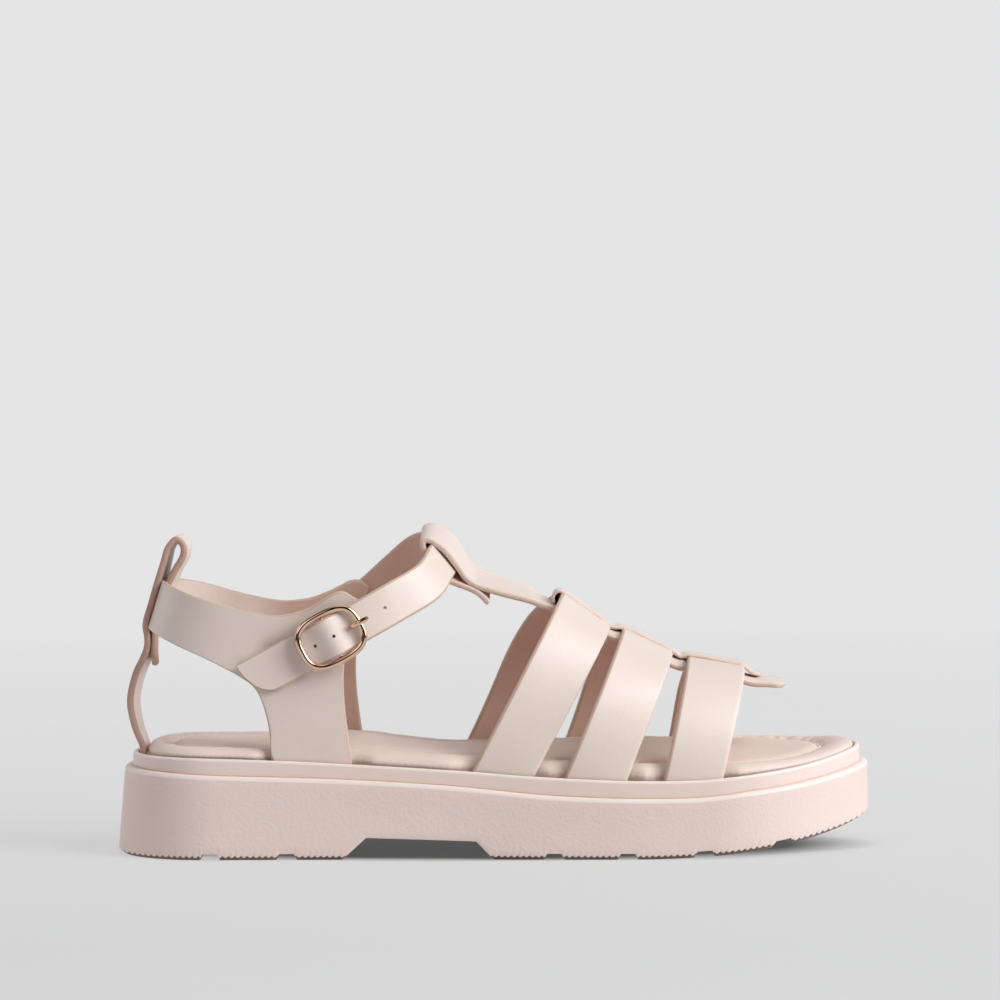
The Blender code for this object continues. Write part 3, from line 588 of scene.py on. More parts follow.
HEEL_X = SOLE_ROWS[0][0]
TOE_X = SOLE_ROWS[-1][0]


def half_width(x):
    into_heel = np.clip((HEEL_X + HEEL_END_LENGTH - x) / HEEL_END_LENGTH, 0.0, 1.0)
    into_toe = np.clip((x - TOE_X + TOE_END_LENGTH) / TOE_END_LENGTH, 0.0, 1.0)
    heel_round = (1 - into_heel**HEEL_END_POWER) ** (1 / HEEL_END_POWER)
    toe_round = (1 - into_toe**TOE_END_POWER) ** (1 / TOE_END_POWER)
    return sole_value("half_width", x) * heel_round * toe_round


def flare(x):
    return FLARE_HEEL + (FLARE_TOE - FLARE_HEEL) * (x - HEEL_X) / (TOE_X - HEEL_X)


def stations(count):
    """Places from heel to toe, closer together at both ends."""
    return HEEL_X + (TOE_X - HEEL_X) * (1 - np.cos(np.linspace(0.0, math.pi, count))) / 2


def plan(x):
    """Closed plan loop through the given stations and its inward directions."""
    half = half_width(x)
    centre = sole_value("centre", x)
    lateral = np.stack([x, centre - half], 1)
    medial = np.stack([x, centre + half], 1)
    loop = np.concatenate([lateral, medial[-2:0:-1]])
    tangent = unit(np.roll(loop, -1, axis=0) - np.roll(loop, 1, axis=0))
    return loop, np.stack([-tangent[:, 1], tangent[:, 0]], 1)


def drawn_in(loop, inward, inset):
    """Plan loop moved inward by an inset and the flare."""
    return loop + (inset + flare(loop[:, 0]))[:, None] * inward


def channel_sides(x):
    """Lateral and medial middle of the strap channel at places along the foot."""
    loop = drawn_in(*plan(stations(FINE_STATIONS)), RIM_INSET + RIM_WALL + FOOT_CHANNEL / 2)
    lateral = loop[:FINE_STATIONS]
    medial = np.concatenate([loop[FINE_STATIONS - 1:], loop[:1]])[::-1]
    return np.interp(x, lateral[:, 0], lateral[:, 1]), np.interp(x, medial[:, 0], medial[:, 1])


def tread_height(x):
    share = np.clip((x - SPRING_START) / (TOE_X - SPRING_START), 0.0, 1.0)
    return SPRING_HEIGHT * share**SPRING_POWER


def quarter_y(x, z, side):
    """Lateral or medial wall of the quarter at a place on its side view."""
    ledge = float(sole_value("rim", HEEL_ARC_MIDDLE)[0])
    share = np.clip((z - ledge) / (ANKLE_HEIGHT - ledge), 0.0, 1.0) ** ANKLE_DRAW_POWER
    inner = np.maximum(x, HEEL_ARC_MIDDLE)
    lateral, medial = channel_sides(inner)
    centre = sole_value("centre", inner)
    foot = np.where(side < 0, centre - lateral, medial - centre)
    half = foot + (ANKLE_HALF - foot) * share
    back = HEEL_BACK_X + (z - HEEL_BACK_Z) * HEEL_BACK_SLOPE
    into = np.clip((HEEL_ARC_MIDDLE - x) / (HEEL_ARC_MIDDLE - back), 0.0, 1.0)
    close = (1 - into**HEEL_ARC_POWER) ** (1 / HEEL_ARC_POWER)
    return centre + side * half * close


def buckle_axes():
    """Place on the quarter's outer face and the axes along, up and out from it."""
    here = quarter_y(np.array([BUCKLE_X]), np.array([BUCKLE_Z]), -1.0)[0]
    ahead = quarter_y(np.array([BUCKLE_X + SLOPE_REACH]), np.array([BUCKLE_Z]), -1.0)[0]
    above = quarter_y(np.array([BUCKLE_X]), np.array([BUCKLE_Z + SLOPE_REACH]), -1.0)[0]
    out = unit(np.array(((ahead - here) / SLOPE_REACH, -1.0, (above - here) / SLOPE_REACH)))
    rise = math.radians(BUCKLE_RISE)
    along = np.array((math.cos(rise), 0.0, math.sin(rise)))
    along = unit(along - out * (along @ out))
    base = np.array((BUCKLE_X, here, BUCKLE_Z)) + out * LEATHER / 2
    return base, along, np.cross(out, along), out


BUCKLE_BASE, BUCKLE_ALONG, BUCKLE_UP, BUCKLE_OUT = buckle_axes()


def buckle_point(along, up, out):
    return BUCKLE_BASE + along * BUCKLE_ALONG + up * BUCKLE_UP + out * BUCKLE_OUT


# Materials


def new_material(name):
    shade = bpy.data.materials.new(name)
    shade.use_nodes = True
    tree = shade.node_tree
    return shade, tree, tree.nodes["Principled BSDF"]


def node(tree, kind, inputs=(), **settings):
    made = tree.nodes.new(kind)
    for key, value in settings.items():
        setattr(made, key, value)
    for key, value in dict(inputs).items():
        if isinstance(value, bpy.types.NodeSocket):
            tree.links.new(value, made.inputs[key])
        else:
            made.inputs[key].default_value = value
    return made


def object_place(tree):
    """Coordinates on the object, in metres."""
    return node(tree, "ShaderNodeTexCoord").outputs["Object"]


def noise(tree, vector, scale, detail=3.0, roughness=0.5):
    made = node(
        tree, "ShaderNodeTexNoise",
        {"Vector": vector, "Scale": scale, "Detail": detail, "Roughness": roughness},
    )
    return made.outputs["Fac"]


def ramp(tree, value, low, high, out_low=0.0, out_high=1.0):
    made = node(
        tree, "ShaderNodeMapRange",
        {"Value": value, "From Min": low, "From Max": high, "To Min": out_low, "To Max": out_high},
    )
    return made.outputs["Result"]


def mottled(tree, place, first, second, scale, spread=0.25):
    """Two close tones mixed by soft noise."""
    return two_tones(tree, ramp(tree, noise(tree, place, scale), 0.5 - spread, 0.5 + spread), first, second)


def two_tones(tree, share, first, second):
    made = node(tree, "ShaderNodeMix", {"Factor": share}, data_type="RGBA")
    a, b = [s for s in made.inputs if s.type == "RGBA"]
    a.default_value = (*first, 1.0)
    b.default_value = (*second, 1.0)
    return [o for o in made.outputs if o.type == "RGBA"][0]


def bumps(tree, shader, height, distance, strength=1.0):
    made = node(tree, "ShaderNodeBump", {"Height": height, "Distance": distance, "Strength": strength})
    tree.links.new(made.outputs["Normal"], shader.inputs["Normal"])


def combined(tree, first, second, weight):
    """First height plus a weighted second height."""
    inputs = {0: second, 1: weight, 2: first}
    return node(tree, "ShaderNodeMath", inputs, operation="MULTIPLY_ADD").outputs[0]


def patchy_material(name, light, deep, gloss, finish):
    """Material with two close tones in soft patches and a roughness that changes slowly."""
    tone_scale, gloss_scale, smoother, rougher = finish
    shade, tree, shader = new_material(name)
    place = object_place(tree)
    tree.links.new(mottled(tree, place, light, deep, tone_scale), shader.inputs["Base Color"])
    patches = noise(tree, place, gloss_scale)
    rough = ramp(tree, patches, *GLOSS_PATCHES, gloss + smoother, gloss + rougher)
    tree.links.new(rough, shader.inputs["Roughness"])
    return shade


def add_grain(shade, grain, distance, feature):
    """Bump of small cells with a noise over them."""
    cell_scale, noise_scale, weight = grain
    tree = shade.node_tree
    place = object_place(tree)
    cells = node(tree, "ShaderNodeTexVoronoi", {"Vector": place, "Scale": cell_scale}, feature=feature)
    height = combined(tree, cells.outputs["Distance"], noise(tree, place, noise_scale, GRAIN_DETAIL), weight)
    bumps(tree, tree.nodes["Principled BSDF"], height, distance)


def leather_material(name, light, deep, gloss, grain, coat=0.0):
    """Finished leather with fine pores."""
    shade = patchy_material(name, light, deep, gloss, LEATHER_FINISH)
    add_grain(shade, LEATHER_GRAIN, grain, "F1")
    shader = shade.node_tree.nodes["Principled BSDF"]
    shader.inputs["Coat Weight"].default_value = coat
    shader.inputs["Coat Roughness"].default_value = COAT_ROUGHNESS
    return shade


def lining_with_painted_light(name, first, second, axis, start, end):
    """Lining with painted light along an axis: the first tone, lighter, stands for light falling there, the
    second is the lining's own colour.
    """
    shade = leather_material(name, first, second, LINING_GLOSS, LINING_GRAIN)
    tree = shade.node_tree
    along = node(tree, "ShaderNodeSeparateXYZ", {"Vector": object_place(tree)}).outputs[axis]
    tone = two_tones(tree, ramp(tree, along, start * MM, end * MM), first, second)
    tree.links.new(tone, tree.nodes["Principled BSDF"].inputs["Base Color"])
    return shade


def rubber_material(name, light, deep, gloss, grain):
    """Moulded rubber with a pebble grain."""
    shade = patchy_material(name, light, deep, gloss, RUBBER_FINISH)
    add_grain(shade, RUBBER_GRAIN, grain, "SMOOTH_F1")
    return shade


def metal_material(name, colour):
    shade = patchy_material(name, colour, tuple(c * METAL_DEEPER for c in colour), METAL_GLOSS, METAL_FINISH)
    shade.node_tree.nodes["Principled BSDF"].inputs["Metallic"].default_value = 1.0
    return shade


LEATHER_SHADE = leather_material(
    "blush_leather", (0.785, 0.665, 0.60), (0.755, 0.635, 0.57), 0.42, 0.000025, 0.12,
)
# Lining: its own colour higher up, painted lighter toward the sole, below 46 mm, as painted bounce light.
LINING_WITH_PAINTED_BOUNCE = lining_with_painted_light("lining_leather_painted_bounce", (0.86, 0.64, 0.54), (0.66, 0.43, 0.35), "Z", 46.0, 68.0)
# Quarter lining: its own colour toward the front, painted lighter toward the heel, behind -86 mm, as painted
# light where the lamps reach its inside.
QUARTER_LINING_PAINTED_LIGHT = lining_with_painted_light("quarter_lining_painted_light", (0.78, 0.65, 0.585), (0.60, 0.40, 0.325), "X", -86.0, -72.0)
EDGE_SHADE = leather_material("cut_edge", (0.65, 0.47, 0.39), (0.60, 0.43, 0.35), 0.5, 0.00005)
LIGHT_EDGE_SHADE = leather_material(
    "light_cut_edge", (0.76, 0.585, 0.505), (0.73, 0.555, 0.475), 0.5, 0.00005,
)
HEEL_EDGE_SHADE = leather_material("heel_cut_edge", (0.53, 0.34, 0.275), (0.48, 0.30, 0.24), 0.5, 0.00005)
PAD_SHADE = leather_material("footbed_leather", (0.80, 0.66, 0.60), (0.76, 0.62, 0.56), 0.58, 0.00006)
BLOCK_SHADE = rubber_material("grained_sole", (0.80, 0.65, 0.595), (0.77, 0.62, 0.565), 0.55, 0.00008)
RIM_SHADE = rubber_material("smooth_rim", (0.83, 0.685, 0.63), (0.81, 0.665, 0.61), 0.46, 0.00002)
# Dark tone under the toothed lip: painted shadow for the shade between tread and floor, not the rubber's own
# colour.
TREAD_PAINTED_SHADOW = rubber_material("tread", (0.30, 0.215, 0.19), (0.27, 0.19, 0.165), 0.8, 0.00005)
# Lighter rubber tone for the rounded upper edges of block and rim: a painted highlight of the top light.
PAINTED_HIGHLIGHT_SHADE = rubber_material("painted_highlight_edge", (0.88, 0.75, 0.70), (0.86, 0.73, 0.68), 0.42, 0.00002)
METAL_SHADE = metal_material("rose_gold", (0.86, 0.58, 0.42))
THREAD_SHADE = leather_material("thread", (0.88, 0.80, 0.75), (0.82, 0.73, 0.67), 0.65, 0.00005)


# Mesh makers


def grid_faces(rows, cols, offset=0, wrap=False):
    """Quads of a grid of points stored row by row, wrapped round along its columns or not."""
    i = np.arange(rows - 1)[:, None]
    j = np.arange(cols if wrap else cols - 1)[None, :]
    n = (j + 1) % cols
    quads = np.stack([i * cols + j, i * cols + n, (i + 1) * cols + n, (i + 1) * cols + j], -1)
    return quads.reshape(-1, 4) + offset


def add_object(name, data):
    item = bpy.data.objects.new(name, data)
    bpy.context.scene.collection.objects.link(item)
    return item


def outward_mesh(name, points, faces):
    """Mesh from points in millimetres, with its faces turned outward."""
    mesh = bpy.data.meshes.new(name)
    mesh.from_pydata((np.asarray(points) * MM).tolist(), [], [tuple(f) for f in faces])
    work = bmesh.new()
    work.from_mesh(mesh)
    bmesh.ops.recalc_face_normals(work, faces=work.faces)
    work.to_mesh(mesh)
    work.free()
    return mesh


def make_piece(name, points, faces, materials, nodes, zones=None, sharp=40.0):
    """Object that is smooth but for edges sharper than the angle."""
    mesh = outward_mesh(name, points, faces)
    for shade in materials:
        mesh.materials.append(shade)
    if zones is not None:
        mesh.polygons.foreach_set("material_index", np.asarray(zones, np.int32))
    mesh.shade_smooth()
    mesh.set_sharp_from_angle(angle=math.radians(sharp))
    item = add_object(name, mesh)
    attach(item, BODY)
    if nodes:
        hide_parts(*nodes)
    return item


def joined(parts):
    """One list of points and one of faces from several."""
    starts = np.cumsum([0] + [len(points) for points, _ in parts])
    faces = [tuple(i + start for i in face) for (_, group), start in zip(parts, starts) for face in group]
    return np.concatenate([points for points, _ in parts]), faces


def grid_normals(grid, reference):
    """Unit normals of a grid of points, turned to agree with a reference direction."""
    down = np.gradient(grid, axis=0)
    over = np.gradient(grid, axis=1)
    normal = unit(np.cross(down, over))
    agree = np.sign(np.sum(normal * reference, axis=-1, keepdims=True))
    main = 1.0 if np.sum(agree) >= 0 else -1.0
    return normal * main


def rim_loop(rows, cols):
    """Indices round the border of a grid."""
    top = [(0, j) for j in range(cols)]
    right = [(i, cols - 1) for i in range(1, rows)]
    low = [(rows - 1, j) for j in range(cols - 2, -1, -1)]
    left = [(i, 0) for i in range(rows - 2, 0, -1)]
    return np.array(top + right + low + left)


def slab(grid, normal, half):
    """Closed leather sheet about a grid, with a round rim: points, faces and zones top, base, rim."""
    rows, cols = grid.shape[:2]
    loop = rim_loop(rows, cols)
    edge = grid[loop[:, 0], loop[:, 1]]
    edge_normal = normal[loop[:, 0], loop[:, 1]]
    tangent = unit(np.roll(edge, -1, axis=0) - np.roll(edge, 1, axis=0))
    out = unit(np.cross(tangent, edge_normal))
    inner_row = np.clip(loop[:, 0], 1, rows - 2)
    inner_col = np.clip(loop[:, 1], 1, cols - 2)
    inward = grid[inner_row, inner_col] - edge
    if np.sum(out * inward) > 0:
        out = -out
    room = EDGE_ROOM * np.linalg.norm(inward, axis=1)
    round_in = np.minimum(EDGE_ROUNDNESS * half, room)[:, None]
    pulled = edge - round_in * out
    surface = grid.copy()
    surface[loop[:, 0], loop[:, 1]] = pulled
    points = [(surface + half * normal).reshape(-1, 3), (surface - half * normal).reshape(-1, 3)]
    for angle in np.linspace(math.pi / 2, -math.pi / 2, EDGE_STEPS + 2)[1:-1]:
        points.append(pulled + round_in * math.cos(angle) * out + half * math.sin(angle) * edge_normal)
    count = rows * cols
    border = loop[:, 0] * cols + loop[:, 1]
    rings = [border]
    rings += [2 * count + k * len(loop) + np.arange(len(loop)) for k in range(EDGE_STEPS)]
    rings += [border + count]
    faces = [grid_faces(rows, cols), grid_faces(rows, cols, count)[:, ::-1]]
    rim = []
    for first, second in zip(rings[:-1], rings[1:]):
        rim.append(np.stack([first, np.roll(first, -1), np.roll(second, -1), second], 1))
    faces.append(np.concatenate(rim))
    zones = np.repeat((0, 1, 2), [len(f) for f in faces])
    return np.concatenate(points), np.concatenate(faces), zones


def strap_piece(
    name, grid, reference, half=HALF_LEATHER, edge=EDGE_SHADE, lining=LINING_WITH_PAINTED_BOUNCE, painted_lit_edge=None,
):
    """Strap with leather outside, lining inside and round cut edges, the last column's in its own shade, used
    as a painted highlight.
    """
    points, faces, zones = slab(grid, grid_normals(grid, reference), half)
    rows, cols = grid.shape[:2]
    rim = zones[zones == 2].reshape(EDGE_STEPS + 1, -1)
    rim[:, cols - 1:cols + rows - 2] = 3
    zones[zones == 2] = rim.ravel()
    shades = (LEATHER_SHADE, lining, edge, painted_lit_edge or edge)
    return make_piece(name, points, faces, shades, ["upper"], zones)


def widened(points, width, direction, columns):
    """Grid of a flat band from its path."""
    share = np.linspace(-1.0, 1.0, columns)
    return points[:, None, :] + direction[:, None, :] * (share * width / 2)[None, :, None]


def round_ends(grid, radius, first=True, last=True, power=2.0):
    """Draws in the sides of a band near its ends, so that the corners are round."""
    middle = grid.mean(axis=1, keepdims=True)
    run = run_along(middle[:, 0])
    share = np.ones(len(run))
    half = np.linalg.norm(grid[0, 0] - grid[0, -1]) / 2
    for use, distance in ((first, run), (last, run[-1] - run)):
        if use:
            into = np.clip(1 - distance / radius, 0.0, 1.0)
            cut = radius * (1 - (1 - into**power) ** (1 / power))
            share = np.minimum(share, np.maximum(1 - cut / half, NARROWEST_END))
    return middle + (grid - middle) * share[:, None, None]


def swept(points, normal, widths, sides, closed):
    """Tube along points: normal and binormals scaled by the two widths of its section."""
    points = np.asarray(points)
    ahead = np.roll(points, -1, axis=0) - np.roll(points, 1, axis=0)
    if not closed:
        ahead = np.gradient(points, axis=0)
    side = unit(np.cross(unit(ahead), normal))
    angle = np.linspace(0.0, 2 * math.pi, sides, endpoint=False)
    ring = (
        points[:, None, :]
        + normal * (np.sin(angle)[None, :, None] * widths[1])
        + side[:, None, :] * (np.cos(angle)[None, :, None] * widths[0])
    )
    rows = len(points)
    faces = [tuple(f) for f in grid_faces(rows + closed, sides, wrap=True) % (rows * sides)]
    if not closed:
        faces += [tuple(range(sides)), tuple(range((rows - 1) * sides, rows * sides))]
    return ring.reshape(-1, 3), faces


def stitch_set(places, directions, normals):
    """Joined short rounded threads lying on a surface."""
    along = np.linspace(-1.0, 1.0, STITCH_STEPS)
    angle = np.linspace(0.0, 2 * math.pi, STITCH_SIDES, endpoint=False)
    thick = THREAD_RADIUS * np.sqrt(np.maximum(1 - along**4, STITCH_END))[:, None, None]
    arch = THREAD_RADIUS * ((1 - STITCH_SINK) * (1 - along**2) - STITCH_SINK)
    last = (STITCH_STEPS - 1) * STITCH_SIDES
    faces = [tuple(f) for f in grid_faces(STITCH_STEPS, STITCH_SIDES, wrap=True)]
    faces += [tuple(range(STITCH_SIDES)), tuple(range(last, last + STITCH_SIDES))]
    parts = []
    for place, direction, normal in zip(places, directions, normals):
        side = np.cross(direction, normal)
        centre = place + direction * (along * STITCH_LENGTH / 2)[:, None] + normal * arch[:, None]
        section = side * np.cos(angle)[None, :, None] + normal * np.sin(angle)[None, :, None]
        parts.append(((centre[:, None, :] + section * thick).reshape(-1, 3), faces))
    return joined(parts)


def ring_piece(name, loops, shades, nodes, zones, sharp=40.0):
    """Closed body from stacked rings, with cross strips as its two ends and a shade for each step."""
    size = len(loops[0])
    count = size // 2 + 1
    points = np.concatenate(loops)
    faces = [tuple(f) for f in grid_faces(len(loops), size, wrap=True)]
    for base in (0, (len(loops) - 1) * size):
        faces.append((base, base + 1, base + size - 1))
        for i in range(1, count - 2):
            faces.append((base + i, base + i + 1, base + size - i - 1, base + size - i))
        faces.append((base + count - 2, base + count - 1, base + count))
    ends = np.repeat((zones[0], zones[-1]), count - 1)
    face_zones = np.concatenate([np.repeat(zones, size), ends])
    return make_piece(name, points, faces, shades, nodes, face_zones, sharp)


# Sole


def tread_profile():
    """Corner places of the tread's side profile, heel to toe: place and height of groove roofs."""
    corners = [(x, z) for x, z in ARCH_PROFILE]
    for x, width in TREAD_ROWS:
        half = width / 2
        corners += [
            (x - half + GROOVE_MOUTH_TAPER, 0.0), (x - half + GROOVE_ROOF_TAPER, GROOVE_DEPTH),
            (x + half - GROOVE_ROOF_TAPER, GROOVE_DEPTH), (x + half - GROOVE_MOUTH_TAPER, 0.0),
        ]
    return sorted(corners)


def wall_rings(ring, inset, foot, top, radius, levels):
    """Rings of a wall and of its rounded upper edge."""
    rings = [ring(inset, foot + (top - radius - foot) * share) for share in np.linspace(0.0, 1.0, levels)]
    for angle in np.radians(ROUND_TURNS):
        rings.append(ring(inset + radius * (1 - math.cos(angle)), top - radius * (1 - math.sin(angle))))
    return rings


def build_block():
    corners = tread_profile()
    corner_x = np.array([x for x, _ in corners])
    corner_z = np.array([z for _, z in corners])
    x = np.unique(np.concatenate([stations(BLOCK_STATIONS), corner_x]))
    loop, inward = plan(x)
    place = loop[:, 0]
    recess = np.interp(place, corner_x, corner_z)
    ribs = RIB_DEPTH * (1 - np.abs(np.sin(math.pi * place / RIB_PITCH)))
    floor = tread_height(place) + recess
    low = tread_height(place) + np.maximum(recess, LIP_HEIGHT + ribs)
    step = sole_value("step", place)

    def ring(inset, height):
        lean = np.clip(height / step, 0.0, 1.0)
        xy = loop + (inset + lean * flare(place))[:, None] * inward
        return np.column_stack([xy, height])

    rings = [ring(LIP_REACH + LIP_TAPER, floor), ring(LIP_REACH, low)]
    rings += [ring(inset, low + rise) for inset, rise in LIP_BEVEL]
    rings += wall_rings(ring, 0.0, low + WALL_START, step, STEP_ROUND, BLOCK_LEVELS)
    rings.append(ring(RIM_INSET + RIM_WALL, step))
    # Zone 1 is the painted shadow on the tread's bottom, the wall behind the lip and the lip's underside.
    zones = [1, 1] + [0] * (BLOCK_LEVELS + 1) + [2] * len(ROUND_TURNS) + [0]
    # Zone 2 is the painted highlight on the block's rounded upper edge.
    shades = (BLOCK_SHADE, TREAD_PAINTED_SHADOW, PAINTED_HIGHLIGHT_SHADE)
    return ring_piece("outsole_block", rings, shades, ["outsole"], zones, 35.0)


def build_rim():
    loop, inward = plan(stations(RIM_STATIONS))
    place = loop[:, 0]
    step = sole_value("step", place)
    rim = sole_value("rim", place)

    def ring(inset, height):
        return np.column_stack([drawn_in(loop, inward, inset), height])

    rings = [ring(RIM_INSET + inset, step + rise) for inset, rise in RIM_FOOT]
    rings += wall_rings(ring, RIM_INSET, step + WALL_START, rim, RIM_ROUND, RIM_LEVELS)
    inner = RIM_INSET + RIM_WALL
    for angle in np.radians(RIM_INNER_TURNS):
        inset = inner - RIM_INNER_ROUND * (1 - math.sin(angle))
        rings.append(ring(inset, rim - RIM_INNER_ROUND * (1 - math.cos(angle))))
    rings.append(ring(inner, rim - FOOT_CHANNEL_DEPTH))
    rings.append(ring(inner + FOOT_CHANNEL + RIM_SEAT, rim - FOOT_CHANNEL_DEPTH))
    # The rim's rounded upper edge takes the painted highlight.
    zones = np.zeros(len(rings) - 1, int)
    zones[RIM_LEVELS + 1:RIM_LEVELS + 1 + len(ROUND_TURNS)] = 1
    return ring_piece("midsole_rim", rings, (RIM_SHADE, PAINTED_HIGHLIGHT_SHADE), ["midsole"], zones)


def strap_presence(place, side):
    """1 where a strap foot stands in the channel and 0 between, along the loop."""
    names = ("foot_rear", "foot_front", "set_back")
    spans = list(zip(*(column(VAMP_ROWS, VAMP_COLUMNS, name) for name in names)))
    spans.append((QUARTER_FEET[0][2], QUARTER_FEET[-1][2], 0.0))
    blur = STRAP_BLUR
    clear = np.ones(len(place))
    for low, high, set_back in spans:
        shift = np.where(side > 0, set_back, 0.0)
        rise = (place + shift - low + blur) / (2 * blur) + 0.5
        fall = (high - place - shift + blur) / (2 * blur) + 0.5
        inside = np.clip(rise, 0.0, 1.0) * np.clip(fall, 0.0, 1.0)
        clear = clear * (1 - eased(inside))
    return 1 - clear


def border_share(x, y):
    """Share of the footbed's height at a place between its lateral and medial border."""
    lateral = table_value(BORDER_ROWS, BORDER_COLUMNS, "lateral", x)
    medial = table_value(BORDER_ROWS, BORDER_COLUMNS, "medial", x)
    over = 0.5 + (y - sole_value("centre", x)) / BORDER_BLEND
    return lateral + (medial - lateral) * eased(over)


def pad_edge(loop):
    """Inset of the footbed's edge along the plan loop: it draws back round each strap foot."""
    side = np.where(np.arange(len(loop)) < PAD_STATIONS, -1.0, 1.0)
    present = strap_presence(loop[:, 0], side)
    heel_strap = np.exp(-((np.hypot(loop[:, 0] - HEEL_X, loop[:, 1] - HEEL_Y) / HEEL_REST) ** 4))
    present = np.maximum(present, heel_strap)
    return PAD_EDGE_WIDE + (PAD_EDGE_AT_STRAP - PAD_EDGE_WIDE) * present


def pucker_field(run, seed):
    """Uneven dips along the sewn channel, 0 to 1."""
    rng = np.random.default_rng(seed)
    total = run[-1]
    field = np.zeros(len(run))
    place = 0.0
    while place < total:
        width = rng.uniform(*PUCKER_WIDTHS)
        depth = rng.uniform(*PUCKER_SHARES)
        gap = np.abs(run - place)
        gap = np.minimum(gap, total - gap)
        field += depth * np.exp(-((gap / width) ** 2))
        place += PUCKER_PITCH * rng.uniform(*PUCKER_SPACING)
    return field


def pad_ring(loop, inward, inset, lift):
    """Ring on the footbed at an inset from the plan loop, lifted over the rim."""
    xy = drawn_in(loop, inward, inset)
    x, y = xy[:, 0], xy[:, 1]
    return np.column_stack([xy, sole_value("rim", x) + lift * border_share(x, y)])


def build_pad():
    loop, inward = plan(stations(PAD_STATIONS))
    edge = pad_edge(loop)
    run = run_along(loop)
    share = column(PAD_ROWS, PAD_COLUMNS, "share")
    height = column(PAD_ROWS, PAD_COLUMNS, "height")
    order = np.linspace(0.0, 1.0, len(PAD_ROWS))
    fine = np.linspace(0.0, 1.0, PAD_RINGS)
    share = smooth(order, share, fine)
    height = smooth(order, height, fine)
    inner_pucker, outer_pucker = [pucker_field(run, seed) for seed in PUCKER_SEEDS]
    gather = np.sin(2 * math.pi * run / GATHER_PITCH)
    rings = []
    for s, h in zip(share, height):
        inset = edge + s * (PAD_CHANNEL - edge)
        near = math.exp(-(((s - 1.0) / PUCKER_REACH[s > 1.0]) ** 2))
        field = inner_pucker if s > 1.0 else outer_pucker
        kept = 1.0 if abs(s - 1.0) > CHANNEL_NEAR else CHANNEL_DIP
        lift = h - PUCKER_DEPTH * near * field * kept
        base = math.exp(-(((h - GATHER_HEIGHT) / GATHER_SPREAD) ** 2)) * (s < GATHER_REACH)
        rings.append(pad_ring(loop, inward, inset + GATHER_DEPTH * base * gather, lift))
    zones = np.zeros(PAD_RINGS - 1, int)
    item = ring_piece("footbed_pad", rings, [PAD_SHADE], ["insole"], zones)
    return item


def build_pad_stitches():
    line = pad_ring(*plan(stations(PAD_STATIONS)), PAD_CHANNEL, PAD_STITCH_HEIGHT)
    run = run_along(line)
    count = int(run[-1] / STITCH_PITCH)
    middle = (np.arange(count) + 0.5) * run[-1] / count
    places = read_along(middle, run, line)
    directions = unit(read_along(middle + STITCH_AHEAD, run, line) - places)
    points, faces = stitch_set(places, directions, np.tile((0.0, 0.0, 1.0), (count, 1)))
    return make_piece("footbed_stitches", points, faces, [THREAD_SHADE], [])


# Upper


def vamp_grid(row):
    spec = dict(zip(VAMP_COLUMNS, row))
    angle = np.linspace(0.0, math.pi, VAMP_STEPS)
    side = power_curve(np.cos(angle), VAMP_ROUNDNESS)
    rise = power_curve(np.sin(angle), VAMP_ROUNDNESS)
    lines = []
    for share in np.linspace(0.0, 1.0, VAMP_ACROSS + 1):
        foot_x = spec["foot_rear"] + (spec["foot_front"] - spec["foot_rear"]) * share
        top_x = spec["top_rear"] + (spec["top_front"] - spec["top_rear"]) * share
        top_z = spec["height_rear"] + (spec["height_front"] - spec["height_rear"]) * share
        foot_z = float(sole_value("rim", foot_x)[0]) - FOOT_CHANNEL_DEPTH + JOINT_GAP + LEATHER / 2
        lateral = channel_sides(foot_x)[0]
        medial = channel_sides(foot_x - spec["set_back"])[1]
        half = (medial - lateral) / 2
        draw = 1 - spec["taper"] * (share - 0.5) * 4 * rise * (1 - rise) * (side > 0)
        y = (lateral + medial) / 2 - half * side * draw
        turn = eased(-half * side / VAMP_TURN)
        back = spec["set_back"] * turn + spec["bow"] * np.sin(math.pi * np.maximum(-side, 0.0) ** 3)
        x = foot_x + (top_x - foot_x) * rise - back
        z = foot_z + (top_z - LEATHER / 2 - foot_z) * rise
        lines.append(np.stack([x, y, z], 1))
    return np.stack(lines, 1)


def build_vamp():
    for number, row in enumerate(VAMP_ROWS, 1):
        grid = vamp_grid(row)
        inside = grid.mean(axis=(0, 1)) * VAMP_INSIDE
        # Front cut edges take the face's leather tone, a painted highlight where they face the lamps; rear
        # edges keep the cut-edge tone.
        strap_piece(f"vamp_strap_{number}", grid, grid - inside, painted_lit_edge=LEATHER_SHADE)


def build_middle():
    rows = path(MIDDLE_ROWS, MIDDLE_STEPS)
    roll = np.radians(rows[:, 3])
    direction = np.stack([np.zeros_like(roll), np.cos(roll), np.sin(roll)], 1)
    grid = widened(rows[:, :3], MIDDLE_WIDTH, direction, MIDDLE_ACROSS)
    grid[..., 2] -= CROWN_SHARE * rows[:, 4:] * np.linspace(-1.0, 1.0, MIDDLE_ACROSS) ** CROWN_POWER
    grid = round_ends(grid, MIDDLE_CORNER, first=False)
    normal = np.cross(np.gradient(rows[:, :3], axis=0), direction)
    up_at_end = normal[-1, 2]
    reference = (normal * np.sign(up_at_end))[:, None, :]
    return strap_piece("middle_strap", grid, reference, HALF_MIDDLE, LIGHT_EDGE_SHADE)


def build_band():
    rows = path(BAND_ROWS, BAND_STEPS)
    grid = widened(rows, BAND_WIDTH, np.array([(0.0, 1.0, 0.0)]), BAND_ACROSS)
    grid = round_ends(grid, BAND_CORNER, first=False)
    return strap_piece("top_band", grid, (0.0, 0.0, 1.0), HALF_BAND, LIGHT_EDGE_SHADE)


